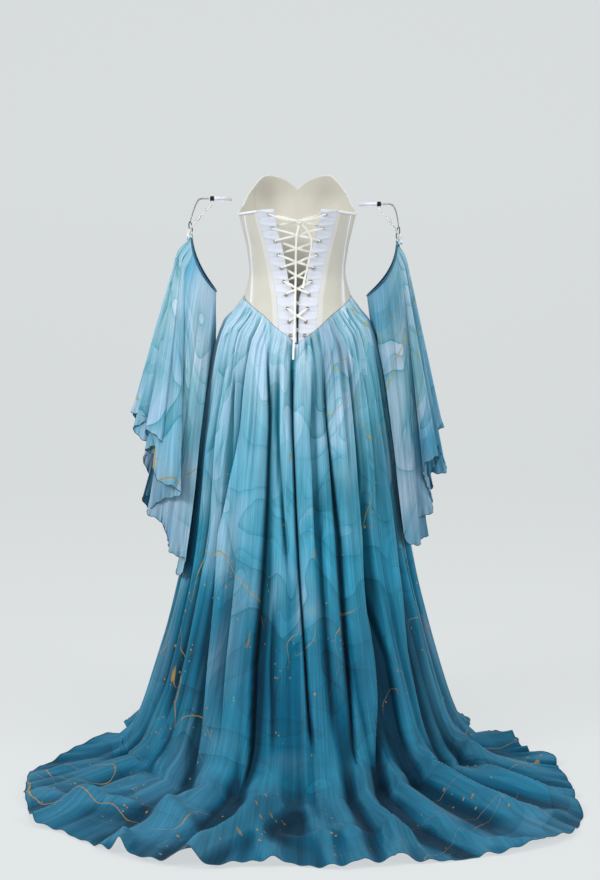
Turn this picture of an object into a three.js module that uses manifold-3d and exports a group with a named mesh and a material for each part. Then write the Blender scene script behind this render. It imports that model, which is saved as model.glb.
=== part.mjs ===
// Back-laced costume dress: corset, gathered skirt with a train, and two bell sleeves hung from arm bands.
// Millimetres, +Z up. The laced back faces -Y and the front faces +Y. Inside the builder functions, heights
// are measured from the floor; the exported group is lowered so that its origin is the middle of the waist.
import * as THREE from 'three';
import { mergeVertices } from 'three/addons/utils/BufferGeometryUtils.js';
import Module from 'manifold-3d';

const wasm = await Module();
wasm.setup();

// Driving dimensions
const WAIST_HEIGHT = 1060;
const SEAM_GAP = 0.3;
const SEAT_GAP = 0.35;
const CORSET_WALL = 1.6;
const CHIFFON_WALL = 1.2;

// The corset's outer surface on a general figure: height, half width, depth behind and depth in front
const TORSO = [
  { z: 880, half: 156, back: 124, front: 132 },
  { z: 940, half: 141, back: 114, front: 120 },
  { z: 1007, half: 119, back: 97, front: 104 },
  { z: 1060, half: 107, back: 86, front: 94 },
  { z: 1110, half: 112, back: 88, front: 104 },
  { z: 1155, half: 122, back: 93, front: 118 },
  { z: 1195, half: 131, back: 98, front: 130 },
  { z: 1240, half: 137, back: 100, front: 136 },
  { z: 1300, half: 139, back: 100, front: 132 },
];
const CUP = { turn: 150, z: 1212, spreadTurn: 17, spreadZ: 46, rise: 14 };

// The corset's lower edge, where the skirt is sewn on: turn from the centre back in degrees, height
const WAIST_SEAM = [
  { turn: 0, z: 906 },
  { turn: 8, z: 922 },
  { turn: 19, z: 941 },
  { turn: 35, z: 968 },
  { turn: 47, z: 981 },
  { turn: 62, z: 994 },
  { turn: 90, z: 1008 },
  { turn: 130, z: 1003 },
  { turn: 160, z: 988 },
  { turn: 180, z: 974 },
];

// The corset's upper edge: level behind, a soft sweetheart in front
const TOP_EDGE = [
  { turn: 0, z: 1199 },
  { turn: 36, z: 1196 },
  { turn: 60, z: 1192 },
  { turn: 90, z: 1190 },
  { turn: 112, z: 1206 },
  { turn: 132, z: 1244 },
  { turn: 151, z: 1278 },
  { turn: 167, z: 1270 },
  { turn: 180, z: 1246 },
];

// Lacing panel, as distances sideways from the centre back: inner edge, eyelet centres and outer edge
const LACING = [
  { z: 905, inner: 2, eyelet: 13, outer: 38 },
  { z: 1000, inner: 3.5, eyelet: 23.5, outer: 45 },
  { z: 1043, inner: 19, eyelet: 29.5, outer: 52 },
  { z: 1098, inner: 29, eyelet: 41, outer: 63 },
  { z: 1145, inner: 41, eyelet: 52, outer: 75 },
  { z: 1200, inner: 52, eyelet: 64, outer: 88 },
];
const EYELET = {
  count: 10,
  top: 1186,
  pitch: 29,
  hole: 2.3,
  rim: 4.2,
  rise: 0.9,
  cut: 2.8,
  sides: 6,
  seat: 0.6,
};

// Boning tape: its centre line as turn from the centre back, and its size
const TAPE_LINE = [
  { z: 940, turn: 50 },
  { z: 1007, turn: 58 },
  { z: 1060, turn: 68 },
  { z: 1110, turn: 67 },
  { z: 1195, turn: 63 },
];
const TAPE = { width: 7, wall: 1.0, end: 4 };
const BINDING = { height: 5, wall: 1.0, seat: 0.8, below: 0.2, startTurn: 0.6 };
const CORSET_ROWS = 10;
const CORSET_SIDE_TURN = 92;
const CORSET_FRONT_TURN = 136;

// Lace: a flat cord; its section narrows where it passes through an eyelet
const LACE = {
  width: 4.6,
  thick: 0.9,
  holeWidth: 2.0,
  outside: 3.1,
  inside: 2.5,
  crossing: 0.5,
  layer: 1.6,
  lean: 0.55,
};
const LACE_CROSSING_SHARES = [0.28, 0.72];
const TAIL_DIAMETER = 3.8;
// The knot sits between the two halves' top ends
const KNOT = { x: 3.3, z: 1171, out: 6.5, half: 6.25, deep: 3, tall: 4.5, barRise: 1.5, barSag: 0.45 };

// The skirt's hanging outline: height, half width, depth behind and depth in front
const SKIRT = [
  { z: 1008, half: 133, back: 116, front: 120 },
  { z: 976, half: 146, back: 124, front: 128 },
  { z: 953, half: 157, back: 129, front: 135 },
  { z: 920, half: 171, back: 135, front: 142 },
  { z: 891, half: 181, back: 142, front: 149 },
  { z: 819, half: 199, back: 164, front: 166 },
  { z: 729, half: 213, back: 193, front: 185 },
  { z: 670, half: 222, back: 211, front: 197 },
  { z: 593, half: 231, back: 232, front: 211 },
  { z: 502, half: 244, back: 258, front: 228 },
  { z: 404, half: 262, back: 289, front: 247 },
  { z: 319, half: 282, back: 317, front: 266 },
  { z: 203, half: 313, back: 356, front: 294 },
  { z: 133, half: 334, back: 383, front: 314 },
  { z: 87, half: 350, back: 404, front: 330 },
  { z: 40, half: 371, back: 432, front: 348 },
  { z: 15, half: 385, back: 458, front: 360 },
  { z: 4, half: 391, back: 485, front: 365 },
  { z: 0, half: 394, back: 520, front: 368 },
];
const SEAM_BLEND = 62;
const SKIRT_SEAM_GAP = 0.7;

// The train's hem on the floor: direction from the centre back, radius on the left and on the right
const HEM = [
  { turn: 0, left: 861, right: 861 },
  { turn: 6, left: 868, right: 880 },
  { turn: 12, left: 892, right: 874 },
  { turn: 20, left: 876, right: 880 },
  { turn: 30, left: 826, right: 884 },
  { turn: 36, left: 800, right: 858 },
  { turn: 43, left: 769, right: 815 },
  { turn: 50, left: 722, right: 735 },
  { turn: 57, left: 670, right: 676 },
  { turn: 65, left: 607, right: 610 },
  { turn: 71, left: 552, right: 561 },
  { turn: 78, left: 489, right: 492 },
  { turn: 86, left: 430, right: 446 },
  { turn: 94, left: 402, right: 404 },
  { turn: 105, left: 394, right: 394 },
  { turn: 140, left: 384, right: 384 },
  { turn: 180, left: 376, right: 376 },
];
const HEM_TURN_SHARE = 0.7;

// The skirt's large folds: each ridge's turn at the hip, the knee and the floor, and its lift at the knee
const FOLDS = [
  { hip: -88, knee: -86, floor: -84, lift: 20 },
  { hip: -68, knee: -60, floor: -61, lift: 28 },
  { hip: -47, knee: -45, floor: -45, lift: 14 },
  { hip: -30, knee: -27, floor: -27, lift: 32 },
  { hip: -10, knee: -8, floor: -11, lift: 24 },
  { hip: 6, knee: 8, floor: 12, lift: 16 },
  { hip: 15, knee: 17, floor: 21, lift: 18 },
  { hip: 28, knee: 29, floor: 32, lift: 30 },
  { hip: 46, knee: 44, floor: 45, lift: 28 },
  { hip: 60, knee: 58, floor: 58, lift: 14 },
  { hip: 73, knee: 70, floor: 69, lift: 24 },
  { hip: 90, knee: 87, floor: 86, lift: 18 },
  { hip: 105, knee: 104, floor: 103, lift: 22 },
  { hip: 120, knee: 121, floor: 119, lift: 24 },
  { hip: 136, knee: 137, floor: 138, lift: 20 },
  { hip: 152, knee: 152, floor: 154, lift: 26 },
  { hip: 170, knee: 169, floor: 170, lift: 22 },
  { hip: 187, knee: 187, floor: 188, lift: 24 },
  { hip: 204, knee: 205, floor: 204, lift: 20 },
  { hip: 221, knee: 221, floor: 223, lift: 26 },
  { hip: 238, knee: 237, floor: 239, lift: 22 },
  { hip: 255, knee: 256, floor: 257, lift: 20 },
];
// How much of a fold's lift shows at each height, and where along the train it lies down again
const FOLD_SHARE = [
  { z: 0, share: 1.1 },
  { z: 90, share: 1.15 },
  { z: 320, share: 1.0 },
  { z: 600, share: 0.75 },
  { z: 820, share: 0.42 },
  { z: 920, share: 0.12 },
  { z: 1010, share: 0 },
];
// Fold shape: a ridge's roundness, a valley's depth below the outline, and where folds meet the floor
const FOLD_SHAPE = { power: 0.75, sink: 0.7, floor: 60 };
const TRAIN_FOLD_SHARE = 0.35;
const LONG_TRAIN = 160;
const FLOOR_CLEARANCE = 0.2;
const KNEE_HEIGHT = 320;
const HIP_HEIGHT = 850;
const GATHERS = { count: 52, rise: 4.6, atSeam: 1.6, grow: 22, fade: 210 };
const SKIRT_PANELS = [
  { name: 'skirt_back_right', from: 0, columns: 40, degrees: 68 },
  { name: 'skirt_side_right', from: 68, columns: 34, degrees: 60 },
  { name: 'skirt_front', from: 128, columns: 60, degrees: 104 },
  { name: 'skirt_side_left', from: 232, columns: 34, degrees: 60 },
  { name: 'skirt_back_left', from: 292, columns: 40, degrees: 68 },
];
// Rows down each panel, from the seam (0) past the edge where the cloth meets the floor to the hem (1)
const FLOOR_ROW = 0.76;
const MOST_HANGING = 0.93;
const SKIRT_FINE_ROWS = [0, 0.013, 0.042];
const SKIRT_COARSE_ROWS = [0.1, 0.2, 0.32, 0.46, 0.58, 0.66, 0.71, 0.76, 0.87, 1];

// Sleeves: the opening's tilted loop, and the hanging outline by height
const SLEEVE_LEFT = {
  side: 'left',
  sign: -1,
  loop: { outer: 235, inner: 181, top: 1142, drop: 126, depth: 44, shape: 1.0 },
  sections: [
    { z: 1142, outer: 246, inner: 214, back: 40, front: 40 },
    { z: 1109, outer: 266, inner: 196, back: 52, front: 48 },
    { z: 1042, outer: 285, inner: 184, back: 62, front: 56 },
    { z: 976, outer: 304, inner: 180, back: 72, front: 62 },
    { z: 909, outer: 322, inner: 182, back: 84, front: 66 },
    { z: 842, outer: 342, inner: 200, back: 96, front: 66 },
    { z: 774, outer: 360, inner: 212, back: 106, front: 64 },
    { z: 670, outer: 372, inner: 226, back: 116, front: 58 },
    { z: 560, outer: 366, inner: 238, back: 122, front: 50 },
    { z: 380, outer: 346, inner: 258, back: 124, front: 40 },
  ],
  hem: [
    { turn: 0, z: 748 },
    { turn: 40, z: 705 },
    { turn: 80, z: 598 },
    { turn: 120, z: 500 },
    { turn: 160, z: 404 },
    { turn: 185, z: 392 },
    { turn: 220, z: 450 },
    { turn: 270, z: 560 },
    { turn: 320, z: 690 },
    { turn: 360, z: 748 },
  ],
};
const SLEEVE_RIGHT = {
  side: 'right',
  sign: 1,
  loop: { outer: 221, inner: 155, top: 1130, drop: 124, depth: 46, shape: 0.85 },
  sections: [
    { z: 1130, outer: 231, inner: 200, back: 38, front: 42 },
    { z: 1094, outer: 242, inner: 180, back: 46, front: 54 },
    { z: 1042, outer: 250, inner: 164, back: 52, front: 64 },
    { z: 976, outer: 263, inner: 160, back: 54, front: 78 },
    { z: 909, outer: 280, inner: 180, back: 52, front: 92 },
    { z: 842, outer: 295, inner: 200, back: 46, front: 104 },
    { z: 774, outer: 310, inner: 212, back: 40, front: 114 },
    { z: 690, outer: 326, inner: 224, back: 34, front: 122 },
    { z: 600, outer: 330, inner: 234, back: 26, front: 128 },
    { z: 440, outer: 300, inner: 250, back: 18, front: 130 },
  ],
  hem: [
    { turn: 0, z: 700 },
    { turn: 40, z: 636 },
    { turn: 80, z: 560 },
    { turn: 120, z: 486 },
    { turn: 160, z: 452 },
    { turn: 190, z: 446 },
    { turn: 230, z: 480 },
    { turn: 280, z: 560 },
    { turn: 325, z: 660 },
    { turn: 360, z: 700 },
  ],
};
const SLEEVE_FOLDS = {
  count: 9,
  uneven: 1.4,
  hang: 9,
  hem: 17,
  hemWave: 13,
  full: 0.3,
  flare: 0.55,
  wave: 0.7,
};
const SLEEVE_COLUMNS = 36;
const SLEEVE_ROWS = 7;
const SLEEVE_BLEND = 55;
const SLEEVE_CLEARANCE = 14;
const SLEEVE_BINDING = { width: 3.2, outer: 0.4, inner: -1.6, foot: 0.8 };

// Arm bands: the band's centre and height, and the parts hung from it
const ARM_LEFT = { sign: -1, x: 183, z: 1221, radius: 37, flowerOut: 5, sleeve: SLEEVE_LEFT };
const ARM_RIGHT = { sign: 1, x: 175, z: 1209, radius: 37, flowerOut: 6, sleeve: SLEEVE_RIGHT };
const ELASTIC = { height: 8, wall: 1.0, steps: 10, from: -1, to: -178 };
const CLIP = { width: 9, height: 11, depth: 3.2, turn: 6.5, lean: 8, out: 0.6 };
const CHAIN = { radius: 0.9, links: 11, sides: 4, waist: 0.6 };
// The chain's and the pearls' routes round the arm: turn, distance out from the arm and height from the band
const CHAIN_ROUTE = [
  { turn: 14, out: 1.2, up: 0 },
  { turn: 32, out: 1.2, up: 1 },
  { turn: 58, out: 3.2, up: -1 },
  { turn: 76, out: 7.2, up: -14 },
  { turn: 104, out: 7.2, up: -14 },
  { turn: 122, out: 3.2, up: -1 },
  { turn: 150, out: 1.2, up: 1 },
  { turn: 181.5, out: 0.6, up: 0 },
];
const PEARL_ROUTE = [
  { turn: 6.5, out: 0.6, up: -5.8 },
  { turn: 6.5, out: 1, up: -11.8 },
  { turn: 22, out: 4, up: -24 },
  { turn: 42, out: 8, up: -40 },
];
const PEARL = { radius: 2.1, thread: 1.1, count: 10, sides: 5, foot: 3, last: 6, lastRise: 9 };
const FLOWER = { petals: 5, radius: 10, notch: 5, thick: 2.6, outward: 0.8, rise: 3, back: 0.85, heart: 0.3 };
const CLOTH_LOOP = { height: 26, width: 8, thick: 0.7, band: 1.3, lean: 1.6, foot: 0.5, steps: 10 };

// Small steps for finding a surface's direction: turn in degrees, height in millimetres, share of a length
const STEP = { turn: 0.5, z: 2, skirt: 0.004, sleeve: 0.01 };

const radians = (degrees) => (degrees * Math.PI) / 180;
const mix = (a, b, share) => a + (b - a) * share;

function ease(share) {
  const s = Math.min(Math.max(share, 0), 1);
  return s * s * (3 - 2 * s);
}

// A smooth curve through one column of a table whose key column rises or falls all the way
function column(table, key, value, name) {
  const rows = table[0][key] < table[table.length - 1][key] ? table : [...table].reverse();
  const last = rows.length - 1;
  if (value <= rows[0][key]) return rows[0][name];
  if (value >= rows[last][key]) return rows[last][name];
  let i = 0;
  while (rows[i + 1][key] < value) i += 1;
  const slope = (a, b) => (rows[b][name] - rows[a][name]) / (rows[b][key] - rows[a][key]);
  const here = slope(i, i + 1);
  const before = i > 0 ? slope(i - 1, i) : here;
  const after = i + 1 < last ? slope(i + 1, i + 2) : here;
  const tangentA = before * here > 0 ? (2 * before * here) / (before + here) : 0;
  const tangentB = after * here > 0 ? (2 * after * here) / (after + here) : 0;
  const span = rows[i + 1][key] - rows[i][key];
  const s = (value - rows[i][key]) / span;
  const startA = i > 0 ? tangentA : here;
  const endB = i + 1 < last ? tangentB : here;
  return (
    rows[i][name] * (1 + 2 * s) * (1 - s) ** 2 +
    startA * span * s * (1 - s) ** 2 +
    rows[i + 1][name] * s * s * (3 - 2 * s) +
    endB * span * s * s * (s - 1)
  );
}

// Turns run from the centre back (0) over the right side (90) to the centre front (180)
const wrapTurn = (turn) => ((((turn + 180) % 360) + 360) % 360) - 180;
const sideTurn = (turn) => Math.abs(wrapTurn(turn));

function ovalPoint(turn, half, back, front, z) {
  const angle = radians(turn);
  const depth = Math.cos(angle) > 0 ? back : front;
  return new THREE.Vector3(half * Math.sin(angle), -depth * Math.cos(angle), z);
}

function torsoPoint(turn, z) {
  const point = ovalPoint(
    turn,
    column(TORSO, 'z', z, 'half'),
    column(TORSO, 'z', z, 'back'),
    column(TORSO, 'z', z, 'front'),
    z,
  );
  const away = (sideTurn(turn) - CUP.turn) / CUP.spreadTurn;
  const above = (z - CUP.z) / CUP.spreadZ;
  const rise = CUP.rise * Math.exp(-away * away - above * above);
  const flat = Math.hypot(point.x, point.y);
  point.x *= 1 + rise / flat;
  point.y *= 1 + rise / flat;
  return point;
}

// Outward normal of a surface given as a function of a turn and a second parameter that runs downwards
function normalOf(surface, turn, down, stepTurn, stepDown) {
  const across = surface(turn + stepTurn, down).sub(surface(turn - stepTurn, down));
  const along = surface(turn, down + stepDown).sub(surface(turn, down - stepDown));
  return across.cross(along).normalize().negate();
}

const torsoDown = (turn, down) => torsoPoint(turn, -down);
const torsoNormal = (turn, z) => normalOf(torsoDown, turn, -z, STEP.turn, STEP.z);
const torsoOut = (turn, z, out) => torsoPoint(turn, z).addScaledVector(torsoNormal(turn, z), out);
const alongTurn = (surface, turn, down) =>
  surface(turn + STEP.turn, down).sub(surface(turn - STEP.turn, down)).normalize();
const torsoAlong = (turn, z) => alongTurn(torsoPoint, turn, z);
const seamHeight = (turn) => column(WAIST_SEAM, 'turn', sideTurn(turn), 'z');
const topHeight = (turn) => column(TOP_EDGE, 'turn', sideTurn(turn), 'z');
const rowHeight = (turn, row) => mix(seamHeight(turn), topHeight(turn), row / CORSET_ROWS);

// A point on a panel's flat facets, between two of its rows, moved out along the corset's normal
function onPanel(turn, z, out) {
  const share = (z - seamHeight(turn)) / (topHeight(turn) - seamHeight(turn));
  const row = Math.min(Math.max(Math.floor(share * CORSET_ROWS), 0), CORSET_ROWS - 1);
  const low = torsoPoint(turn, rowHeight(turn, row));
  const high = torsoPoint(turn, rowHeight(turn, row + 1));
  return low.lerp(high, share * CORSET_ROWS - row).addScaledVector(torsoNormal(turn, z), out);
}

const turnAt = (sideways, z) => (Math.asin(sideways / column(TORSO, 'z', z, 'half')) * 180) / Math.PI;
const lacingTurn = (z, name) => turnAt(column(LACING, 'z', z, name), z);
const tapeTurn = (z) => column(TAPE_LINE, 'z', z, 'turn');
const lacingEdge = (z) => lacingTurn(z, 'outer');
const sideEdge = () => CORSET_SIDE_TURN;
const frontEdge = () => CORSET_FRONT_TURN;
const SIDE_PANELS = [
  { name: 'corset_back', from: lacingEdge, to: tapeTurn, across: 3 },
  { name: 'corset_side', from: tapeTurn, to: sideEdge, across: 3 },
  { name: 'corset_side_front', from: sideEdge, to: frontEdge, across: 6 },
];
const FRONT_COLUMNS = 12;

// Meshes from rows of points
class Body {
  constructor() {
    this.points = [];
    this.faces = [];
  }

  addRow(row) {
    const start = this.points.length;
    this.points.push(...row);
    return row.map((_, i) => start + i);
  }

  // Joins two rows of equal length, or a row with twice as many intervals as the other
  strip(rowA, rowB, closed, flip) {
    const a = closed ? [...rowA, rowA[0]] : rowA;
    const b = closed ? [...rowB, rowB[0]] : rowB;
    const face = (i, j, k) => this.faces.push(flip ? [i, k, j] : [i, j, k]);
    if (a.length === b.length) {
      for (let i = 0; i + 1 < a.length; i += 1) {
        face(a[i], b[i], b[i + 1]);
        face(a[i], b[i + 1], a[i + 1]);
      }
      return;
    }
    for (let i = 0; i + 1 < b.length; i += 1) {
      face(a[2 * i], b[i], a[2 * i + 1]);
      face(a[2 * i + 1], b[i], b[i + 1]);
      face(a[2 * i + 1], b[i + 1], a[2 * i + 2]);
    }
  }

  geometry() {
    let volume = 0;
    for (const [i, j, k] of this.faces) {
      volume += this.points[i].dot(this.points[j].clone().cross(this.points[k]));
    }
    const positions = this.points.flatMap((p) => [p.x, p.y, p.z]);
    const index = this.faces.flatMap(([i, j, k]) => (volume > 0 ? [i, j, k] : [i, k, j]));
    const geometry = new THREE.BufferGeometry();
    geometry.setAttribute('position', new THREE.Float32BufferAttribute(positions, 3));
    geometry.setIndex(index);
    geometry.computeVertexNormals();
    return geometry;
  }
}

// A cloth wall between outer and inner rows, as an open panel or as a closed tube
function wallGeometry(outerRows, innerRows, closed) {
  const body = new Body();
  const outer = outerRows.map((row) => body.addRow(row));
  const inner = innerRows.map((row) => body.addRow(row));
  const last = outer.length - 1;
  for (let r = 0; r < last; r += 1) {
    body.strip(outer[r], outer[r + 1], closed, false);
    body.strip(inner[r], inner[r + 1], closed, true);
  }
  body.strip(outer[0], inner[0], closed, true);
  body.strip(outer[last], inner[last], closed, false);
  if (!closed) {
    body.strip(outer.map((row) => row[0]), inner.map((row) => row[0]), false, false);
    body.strip(outer.map((row) => row.at(-1)), inner.map((row) => row.at(-1)), false, true);
  }
  return body.geometry();
}

// A solid through closed rings of equal length, capped at both ends from a ring's middle
function loftGeometry(rings) {
  const body = new Body();
  const rows = rings.map((ring) => body.addRow(ring));
  for (let r = 0; r + 1 < rows.length; r += 1) body.strip(rows[r], rows[r + 1], true, false);
  for (const end of [0, rows.length - 1]) {
    const middle = new THREE.Vector3();
    for (const point of rings[end]) middle.addScaledVector(point, 1 / rings[end].length);
    const [hub] = body.addRow([middle]);
    const row = rows[end];
    for (let i = 0; i < row.length; i += 1) {
      const next = row[(i + 1) % row.length];
      body.faces.push(end === 0 ? [hub, row[i], next] : [hub, next, row[i]]);
    }
  }
  return body.geometry();
}

function addMesh(group, name, geometry, material) {
  const mesh = new THREE.Mesh(geometry, material.clone());
  mesh.name = name;
  group.add(mesh);
  return mesh;
}

const colour = (hex, roughness, metalness = 0) =>
  new THREE.MeshStandardMaterial({ color: hex, roughness, metalness, side: THREE.FrontSide });
const MATERIALS = {
  mesh: colour(0xe9e2c9, 0.8),
  cotton: colour(0xf2f3f8, 0.85),
  tape: colour(0xf6f5f2, 0.6),
  lace: colour(0xf4f1e6, 0.45),
  metal: colour(0xb8b2a6, 0.3, 1),
  skirt: colour(0x3c84a2, 0.6),
  sleeve: colour(0x7fb2cc, 0.6),
  teal: colour(0x1f6c84, 0.55),
  elastic: colour(0xe9e6ec, 0.5),
  clip: colour(0x1a1a1c, 0.35),
  pearl: colour(0xf4efe4, 0.2),
  flower: colour(0xf0f4f4, 0.6),
};

// Corset panel between two edges given as turns by height, from the waist seam to the top edge
function panelStation(leftTurn, rightTurn, share, rowNumber) {
  let z = mix(1000, 1190, rowNumber / CORSET_ROWS);
  let turn = 0;
  for (let pass = 0; pass < 12; pass += 1) {
    turn = mix(leftTurn(z), rightTurn(z), share);
    z = rowHeight(turn, rowNumber);
  }
  return { turn, z };
}

function corsetPanel(leftTurn, rightTurn, across) {
  const grid = (depth) => {
    const rows = [];
    for (let j = CORSET_ROWS; j >= 0; j -= 1) {
      const row = [];
      for (let i = 0; i <= across; i += 1) {
        const { turn, z } = panelStation(leftTurn, rightTurn, i / across, j);
        const point = torsoOut(turn, z, -depth);
        const along = torsoAlong(turn, z);
        if (i === 0) point.addScaledVector(along, SEAM_GAP / 2);
        if (i === across) point.addScaledVector(along, -SEAM_GAP / 2);
        row.push(point);
      }
      rows.push(row);
    }
    return rows;
  };
  return wallGeometry(grid(0), grid(CORSET_WALL), false);
}

function toSolid(geometry) {
  const plain = geometry.clone();
  plain.deleteAttribute('normal');
  plain.deleteAttribute('uv');
  const merged = mergeVertices(plain, 1e-4);
  return new wasm.Manifold(
    new wasm.Mesh({
      numProp: 3,
      vertProperties: new Float32Array(merged.attributes.position.array),
      triVerts: new Uint32Array(merged.index.array),
    }),
  );
}

function fromSolid(solid) {
  const mesh = solid.getMesh();
  const geometry = new THREE.BufferGeometry();
  geometry.setAttribute('position', new THREE.Float32BufferAttribute(Array.from(mesh.vertProperties), 3));
  geometry.setIndex(Array.from(mesh.triVerts));
  geometry.computeVertexNormals();
  return geometry;
}

const eyeletHeight = (row) => EYELET.top - EYELET.pitch * row;
const eyeletTurn = (row, sign) => sign * lacingTurn(eyeletHeight(row), 'eyelet');

// Puts a geometry whose axis is +Y at a point, with the axis along a direction
function seat(geometry, point, direction) {
  const turn = new THREE.Quaternion().setFromUnitVectors(new THREE.Vector3(0, 1, 0), direction);
  geometry.applyQuaternion(turn);
  geometry.translate(point.x, point.y, point.z);
  return geometry;
}

function lacingPanel(sign) {
  const inner = (z) => sign * lacingTurn(z, 'inner');
  const outer = (z) => sign * lacingTurn(z, 'outer');
  const panel = sign > 0 ? corsetPanel(inner, outer, 3) : corsetPanel(outer, inner, 3);
  let solid = toSolid(panel);
  for (let row = 0; row < EYELET.count; row += 1) {
    const z = eyeletHeight(row);
    const turn = eyeletTurn(row, sign);
    const drill = new THREE.CylinderGeometry(EYELET.cut, EYELET.cut, 5 * CORSET_WALL, EYELET.sides);
    solid = solid.subtract(toSolid(seat(drill, onPanel(turn, z, 0), torsoNormal(turn, z))));
  }
  return fromSolid(solid);
}

function eyelet(row, sign) {
  const z = eyeletHeight(row);
  const turn = eyeletTurn(row, sign);
  const profile = [
    new THREE.Vector2(EYELET.hole, 0),
    new THREE.Vector2(EYELET.rim, 0),
    new THREE.Vector2((EYELET.hole + EYELET.rim) / 2, EYELET.rise),
    new THREE.Vector2(EYELET.hole, 0),
  ];
  const ring = new THREE.LatheGeometry(profile, EYELET.sides);
  return seat(ring, onPanel(turn, z, EYELET.seat), torsoNormal(turn, z));
}

// The tape lies on the seam between two panels and has a ring at each of their rows
function boningTape(sign) {
  const rings = [];
  for (let row = 0; row <= CORSET_ROWS; row += 1) {
    const station = panelStation(tapeTurn, tapeTurn, 0, row);
    const turn = sign * station.turn;
    const z = station.z + (row === 0 ? TAPE.end : 0) - (row === CORSET_ROWS ? BINDING.height + 1 : 0);
    const along = torsoAlong(turn, z);
    const corner = (side, depth) =>
      onPanel(turn, z, SEAT_GAP + depth).addScaledVector(along, (side * TAPE.width) / 2);
    rings.push([corner(-1, 0), corner(1, 0), corner(1, TAPE.wall), corner(-1, TAPE.wall)]);
  }
  return loftGeometry(rings);
}

// Top binding: from one lacing panel round the front to the other, with a ring at each of the panels' columns
function topBinding() {
  const turns = [];
  for (const { from, to, across } of SIDE_PANELS) {
    for (let i = turns.length ? 1 : 0; i <= across; i += 1) {
      turns.push(panelStation(from, to, i / across, CORSET_ROWS).turn);
    }
  }
  const half = FRONT_COLUMNS / 2;
  for (let i = 1; i <= half; i += 1) turns.push(mix(CORSET_FRONT_TURN, 180, i / half));
  turns[0] += BINDING.startTurn;
  const allTurns = [...turns, ...turns.slice(0, -1).reverse().map((turn) => 360 - turn)];
  const rings = allTurns.map((turn) => {
    const top = topHeight(turn) - BINDING.below;
    const low = top - BINDING.height;
    const corner = (z, depth) => onPanel(turn, z, BINDING.seat + depth);
    return [corner(low, 0), corner(top, 0), corner(top, BINDING.wall), corner(low, BINDING.wall)];
  });
  return loftGeometry(rings);
}

// One of the lace's two halves: it changes sides at each crossing, going in at one eyelet and out at the next
function laceHalf(firstSign, layerShare) {
  const stations = [];
  const add = (turn, z, out, width) => stations.push({ turn, z, out, width });
  const wallMiddle = -CORSET_WALL / 2;
  for (let row = 0; row < EYELET.count; row += 1) {
    const sign = row % 2 === 0 ? firstSign : -firstSign;
    const turn = eyeletTurn(row, sign);
    const z = eyeletHeight(row);
    const arriveOutside = row % 2 === 0;
    const out = LACE.outside;
    const inward = -CORSET_WALL - LACE.inside;
    if (row === 0) {
      const barEnd = turnAt(KNOT.x + sign * (KNOT.half + SEAM_GAP), KNOT.z);
      add(barEnd, KNOT.z + KNOT.barRise, KNOT.out, LACE.width);
      add(mix(barEnd, turn, 0.5), mix(KNOT.z, z, KNOT.barSag), KNOT.out - 1, LACE.width);
    }
    add(turn, z + LACE.lean, arriveOutside ? out : inward, LACE.holeWidth);
    add(turn, z, wallMiddle, LACE.holeWidth);
    add(turn, z - LACE.lean, arriveOutside ? inward : out, LACE.holeWidth);
    if (row + 1 === EYELET.count) break;
    const nextTurn = eyeletTurn(row + 1, -sign);
    const nextZ = eyeletHeight(row + 1);
    const leaveOutside = !arriveOutside;
    const base = leaveOutside ? out + LACE.crossing : inward - LACE.crossing;
    const layer = (leaveOutside ? 1 : -1) * LACE.layer * layerShare;
    for (const share of LACE_CROSSING_SHARES) {
      add(mix(turn, nextTurn, share), mix(z, nextZ, share), base + layer, LACE.width);
    }
  }
  const points = stations.map((s) => onPanel(s.turn, s.z, s.out));
  const rings = stations.map((s, i) => {
    const ahead = points[Math.min(i + 1, points.length - 1)];
    const behind = points[Math.max(i - 1, 0)];
    const direction = ahead.clone().sub(behind).normalize();
    const inHole = s.width === LACE.holeWidth;
    const normal = torsoNormal(s.turn, s.z);
    const down = new THREE.Vector3(0, 0, -1);
    const flat = normal.clone().cross(inHole ? down : direction).normalize();
    const face = direction.clone().cross(flat).normalize();
    const corner = (side, depth) => {
      const point = points[i].clone().addScaledVector(flat, (side * s.width) / 2);
      return point.addScaledVector(face, (depth * LACE.thick) / 2);
    };
    return [corner(-1, -1), corner(1, -1), corner(1, 1), corner(-1, 1)];
  });
  return loftGeometry(rings);
}

function laceKnot() {
  const knot = new THREE.SphereGeometry(1, 10, 6);
  knot.scale(KNOT.half, KNOT.deep, KNOT.tall);
  const place = torsoOut(turnAt(KNOT.x, KNOT.z), KNOT.z, KNOT.out);
  knot.translate(place.x, place.y, place.z);
  return knot;
}

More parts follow.
